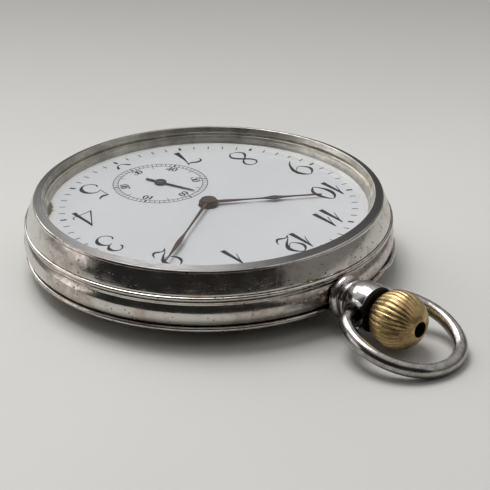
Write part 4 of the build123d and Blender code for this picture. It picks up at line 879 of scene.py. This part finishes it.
def fluted_crown(material):
    """Ball with flutes along its meridians, worn away towards the end hole, and a deep end hole."""
    flutes, per_flute, rows = 30, 12, 64
    around_count = flutes * per_flute
    hole_r, hole_floor, mouth_r, neck_r = 1.05 * MM, 37.2 * MM, 0.7 * MM, 0.86 * MM
    flute_depth, hole_lip = 0.13 * MM, 0.16 * MM
    low_polar, high_polar = pi - asin_safe(neck_r / CROWN_R), asin_safe(hole_r / CROWN_R)
    vertices = []
    for row in range(rows + 1):
        polar = low_polar + (high_polar - low_polar) * row / rows
        wear = min(1.0, max(0.12, (polar - 0.45) / 0.75))
        fade = min(1.0, sin(polar) * 1.7) * wear
        for step in range(around_count):
            phase = (step % per_flute) / per_flute
            groove = abs(sin(pi * phase)) ** 0.55
            radius = CROWN_R - flute_depth * fade * (1 - groove)
            turn = 2 * pi * step / around_count
            ring = radius * sin(polar)
            vertices.append((ring * cos(turn), CROWN_Y + radius * cos(polar), CROWN_Z + ring * sin(turn)))
    inner_rings = (
        (hole_r * 0.93, CROWN_Y + CROWN_R * cos(high_polar) - hole_lip),
        (hole_r * 0.93, hole_floor),
        (mouth_r, hole_floor),
        (mouth_r, CROWN_Y + CROWN_R * cos(low_polar)),
    )
    for radius, y in inner_rings:
        for step in range(around_count):
            turn = 2 * pi * step / around_count
            vertices.append((radius * cos(turn), y, CROWN_Z + radius * sin(turn)))
    faces = []
    total = rows + 1 + len(inner_rings)
    for row in range(total):
        here, there = row * around_count, ((row + 1) % total) * around_count
        for step in range(around_count):
            following = (step + 1) % around_count
            faces.append((here + step, here + following, there + following, there + step))
    piece = mesh_piece("crown_ball", vertices, faces, material, "crown", "crown_brass")
    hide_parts("crown")
    return piece


def asin_safe(value):
    """Arc sine by arc tangent."""
    return atan2(value, sqrt(max(0.0, 1 - value * value)))


# Stage


def floor_sheet(material):
    """Large flat floor under the watch."""
    half = 1.4
    corners = [(-half, -half, 0), (half, -half, 0), (half, half, 0), (-half, half, 0)]
    mesh = bpy.data.meshes.new("floor")
    mesh.from_pydata(corners, [], [(0, 1, 2, 3)])
    mesh.update()
    mesh.materials.append(material)
    floor = bpy.data.objects.new("floor", mesh)
    bpy.context.scene.collection.objects.link(floor)


def softbox(name, azimuth, elevation, distance, size, power):
    """Square area light that faces the watch from a direction given in degrees."""
    light = bpy.data.lights.new(name, "AREA")
    light.shape = "SQUARE"
    light.size = size
    light.energy = power
    lamp = bpy.data.objects.new(name, light)
    a, e = radians(azimuth), radians(elevation)
    spot = Vector((cos(a) * cos(e), sin(a) * cos(e), sin(e))) * distance
    lamp.location = spot
    lamp.rotation_euler = spot.to_track_quat("Z", "Y").to_euler()
    bpy.context.scene.collection.objects.link(lamp)


def room():
    """Soft room light: pale all round, dark low down on the side the watch's bevel mirrors."""
    world = bpy.data.worlds.new("room")
    bpy.context.scene.world = world
    world.use_nodes = True
    tree = world.node_tree
    tree.nodes.clear()
    direction = put(tree, "TexCoord").outputs["Generated"]
    parts = put(tree, "SeparateXYZ", {0: direction}).outputs
    facing = put(tree, "VectorMath", {0: direction, 1: DARK_SIDE}, operation="DOT_PRODUCT").outputs["Value"]
    level = math_node(tree, "DIVIDE", facing, radial(tree, direction))
    dark = remap(tree, level, cos(DARK_REACH), cos(DARK_CORE))
    low = remap(tree, parts["Z"], sin(DARK_HEIGHT), sin(DARK_END), 1.0, 0.0)
    height = remap(tree, parts["Z"], 0.2, 0.8)
    pale = mixed(tree, height, (0.22, 0.215, 0.21), (0.66, 0.66, 0.67))
    tone = mixed(tree, math_node(tree, "MULTIPLY", dark, low), pale, (0.026, 0.025, 0.024))
    shade = put(tree, "Background", {"Color": tone, "Strength": 0.92})
    put(tree, "OutputWorld", {"Surface": shade.outputs[0]})


def camera():
    """Long-lens camera, rolled a little, aimed near the middle of the watch."""
    data = bpy.data.cameras.new("camera")
    data.sensor_width = SENSOR_MM
    data.lens = LENS_MM
    data.clip_start = 0.01
    viewer = bpy.data.objects.new("camera", data)
    flat = cos(CAMERA_ELEVATION)
    back = Vector((cos(CAMERA_AZIMUTH) * flat, sin(CAMERA_AZIMUTH) * flat, sin(CAMERA_ELEVATION)))
    viewer.location = AIM + back * CAMERA_DISTANCE
    turn = back.to_track_quat("Z", "Y").to_matrix() @ Matrix.Rotation(CAMERA_ROLL, 3, "Z")
    viewer.rotation_euler = turn.to_euler()
    bpy.context.scene.collection.objects.link(viewer)
    bpy.context.scene.camera = viewer


def dress_nodes():
    """Material for every CAD node that stays visible."""
    silver = worn_silver("case_silver", pits=0.64, rough=0.10, seed=0)
    dress(("pendant",), pendant_silver())
    case_shell(silver, bezel_silver())
    dress(("bow",), worn_silver("bow_silver", (0.50, 0.485, 0.465), (0.30, 0.275, 0.25), 0.42, 0.09, 40))
    dress(("dust_cover",), worn_silver("inner_silver", (0.78, 0.76, 0.72), (0.6, 0.55, 0.5), 0.2, 0.1, 80))
    dress(("dial",), enamel())
    dress(("crystal",), crystal_glass())
    hands = browned_steel("hand_steel", (0.028, 0.016, 0.014), (0.105, 0.05, 0.035), 71)
    dress(("hour_hand", "minute_hand"), hands)
    dress(("seconds_hand",), browned_steel("seconds_steel", (0.022, 0.022, 0.024), (0.05, 0.045, 0.045), 74))
    dress(("dial_feet",), turned_metal("copper", (0.70, 0.36, 0.22), (0.35, 0.17, 0.1), 0.2, 101))
    steel = turned_metal("steel", (0.62, 0.61, 0.6), (0.38, 0.36, 0.34), 0.12, 104)
    dress(STEEL_NODES, steel)
    blued = turned_metal("blued_steel", (0.05, 0.09, 0.35), (0.12, 0.07, 0.22), 0.14, 107)
    dress(BLUED_NODES, blued)
    dress(GILT_NODES, frosted_gilt())
    dress(BRASS_NODES, turned_metal("brass", (0.76, 0.56, 0.26), (0.48, 0.32, 0.14), 0.16, 110))
    dress(("jewels", "pallet_stones"), ruby())


STEEL_NODES = (
    "hinge_pins", "stem_sleeve", "crown_screw", "winding_stem", "cannon_pinion", "minute_wheel",
    "setting_wheel", "crown_wheel_screw", "ratchet_screw", "click_spring", "click", "ratchet_wheel",
    "crown_wheel", "winding_pinion", "clutch_wheel", "setting_lever", "yoke", "barrel_arbor", "escape_wheel",
    "pallet_fork", "balance_staff", "hairspring_stud", "regulator",
)
BLUED_NODES = ("bridge_screws", "case_screws", "click_screw", "mainspring", "hairspring")
GILT_NODES = ("main_plate", "barrel_bridge", "train_bridge", "balance_cock", "pallet_cock")
BRASS_NODES = (
    "dust_washer", "hour_wheel", "mainspring_barrel", "barrel_lid", "centre_wheel", "third_wheel",
    "fourth_wheel", "balance_wheel", "balance_screws",
)


camera()
room()
# Softboxes: azimuth and elevation in degrees, distance and size in metres, power in watts
softbox("overhead", -101, 66, 0.60, 0.32, 2.4)
softbox("left", -92, 30, 0.70, 0.4, 0.95)
softbox("window", -42, 16, 0.70, 0.3, 0.42)
floor_sheet(pale_paper())
dress_nodes()
black = ink()
hour_numerals(black)
minute_ticks(black)
seconds_track(black)
enamel_chip(dirt(), bare_enamel())
fluted_crown(crown_brass())

bpy.context.scene.view_settings.view_transform = "Standard"
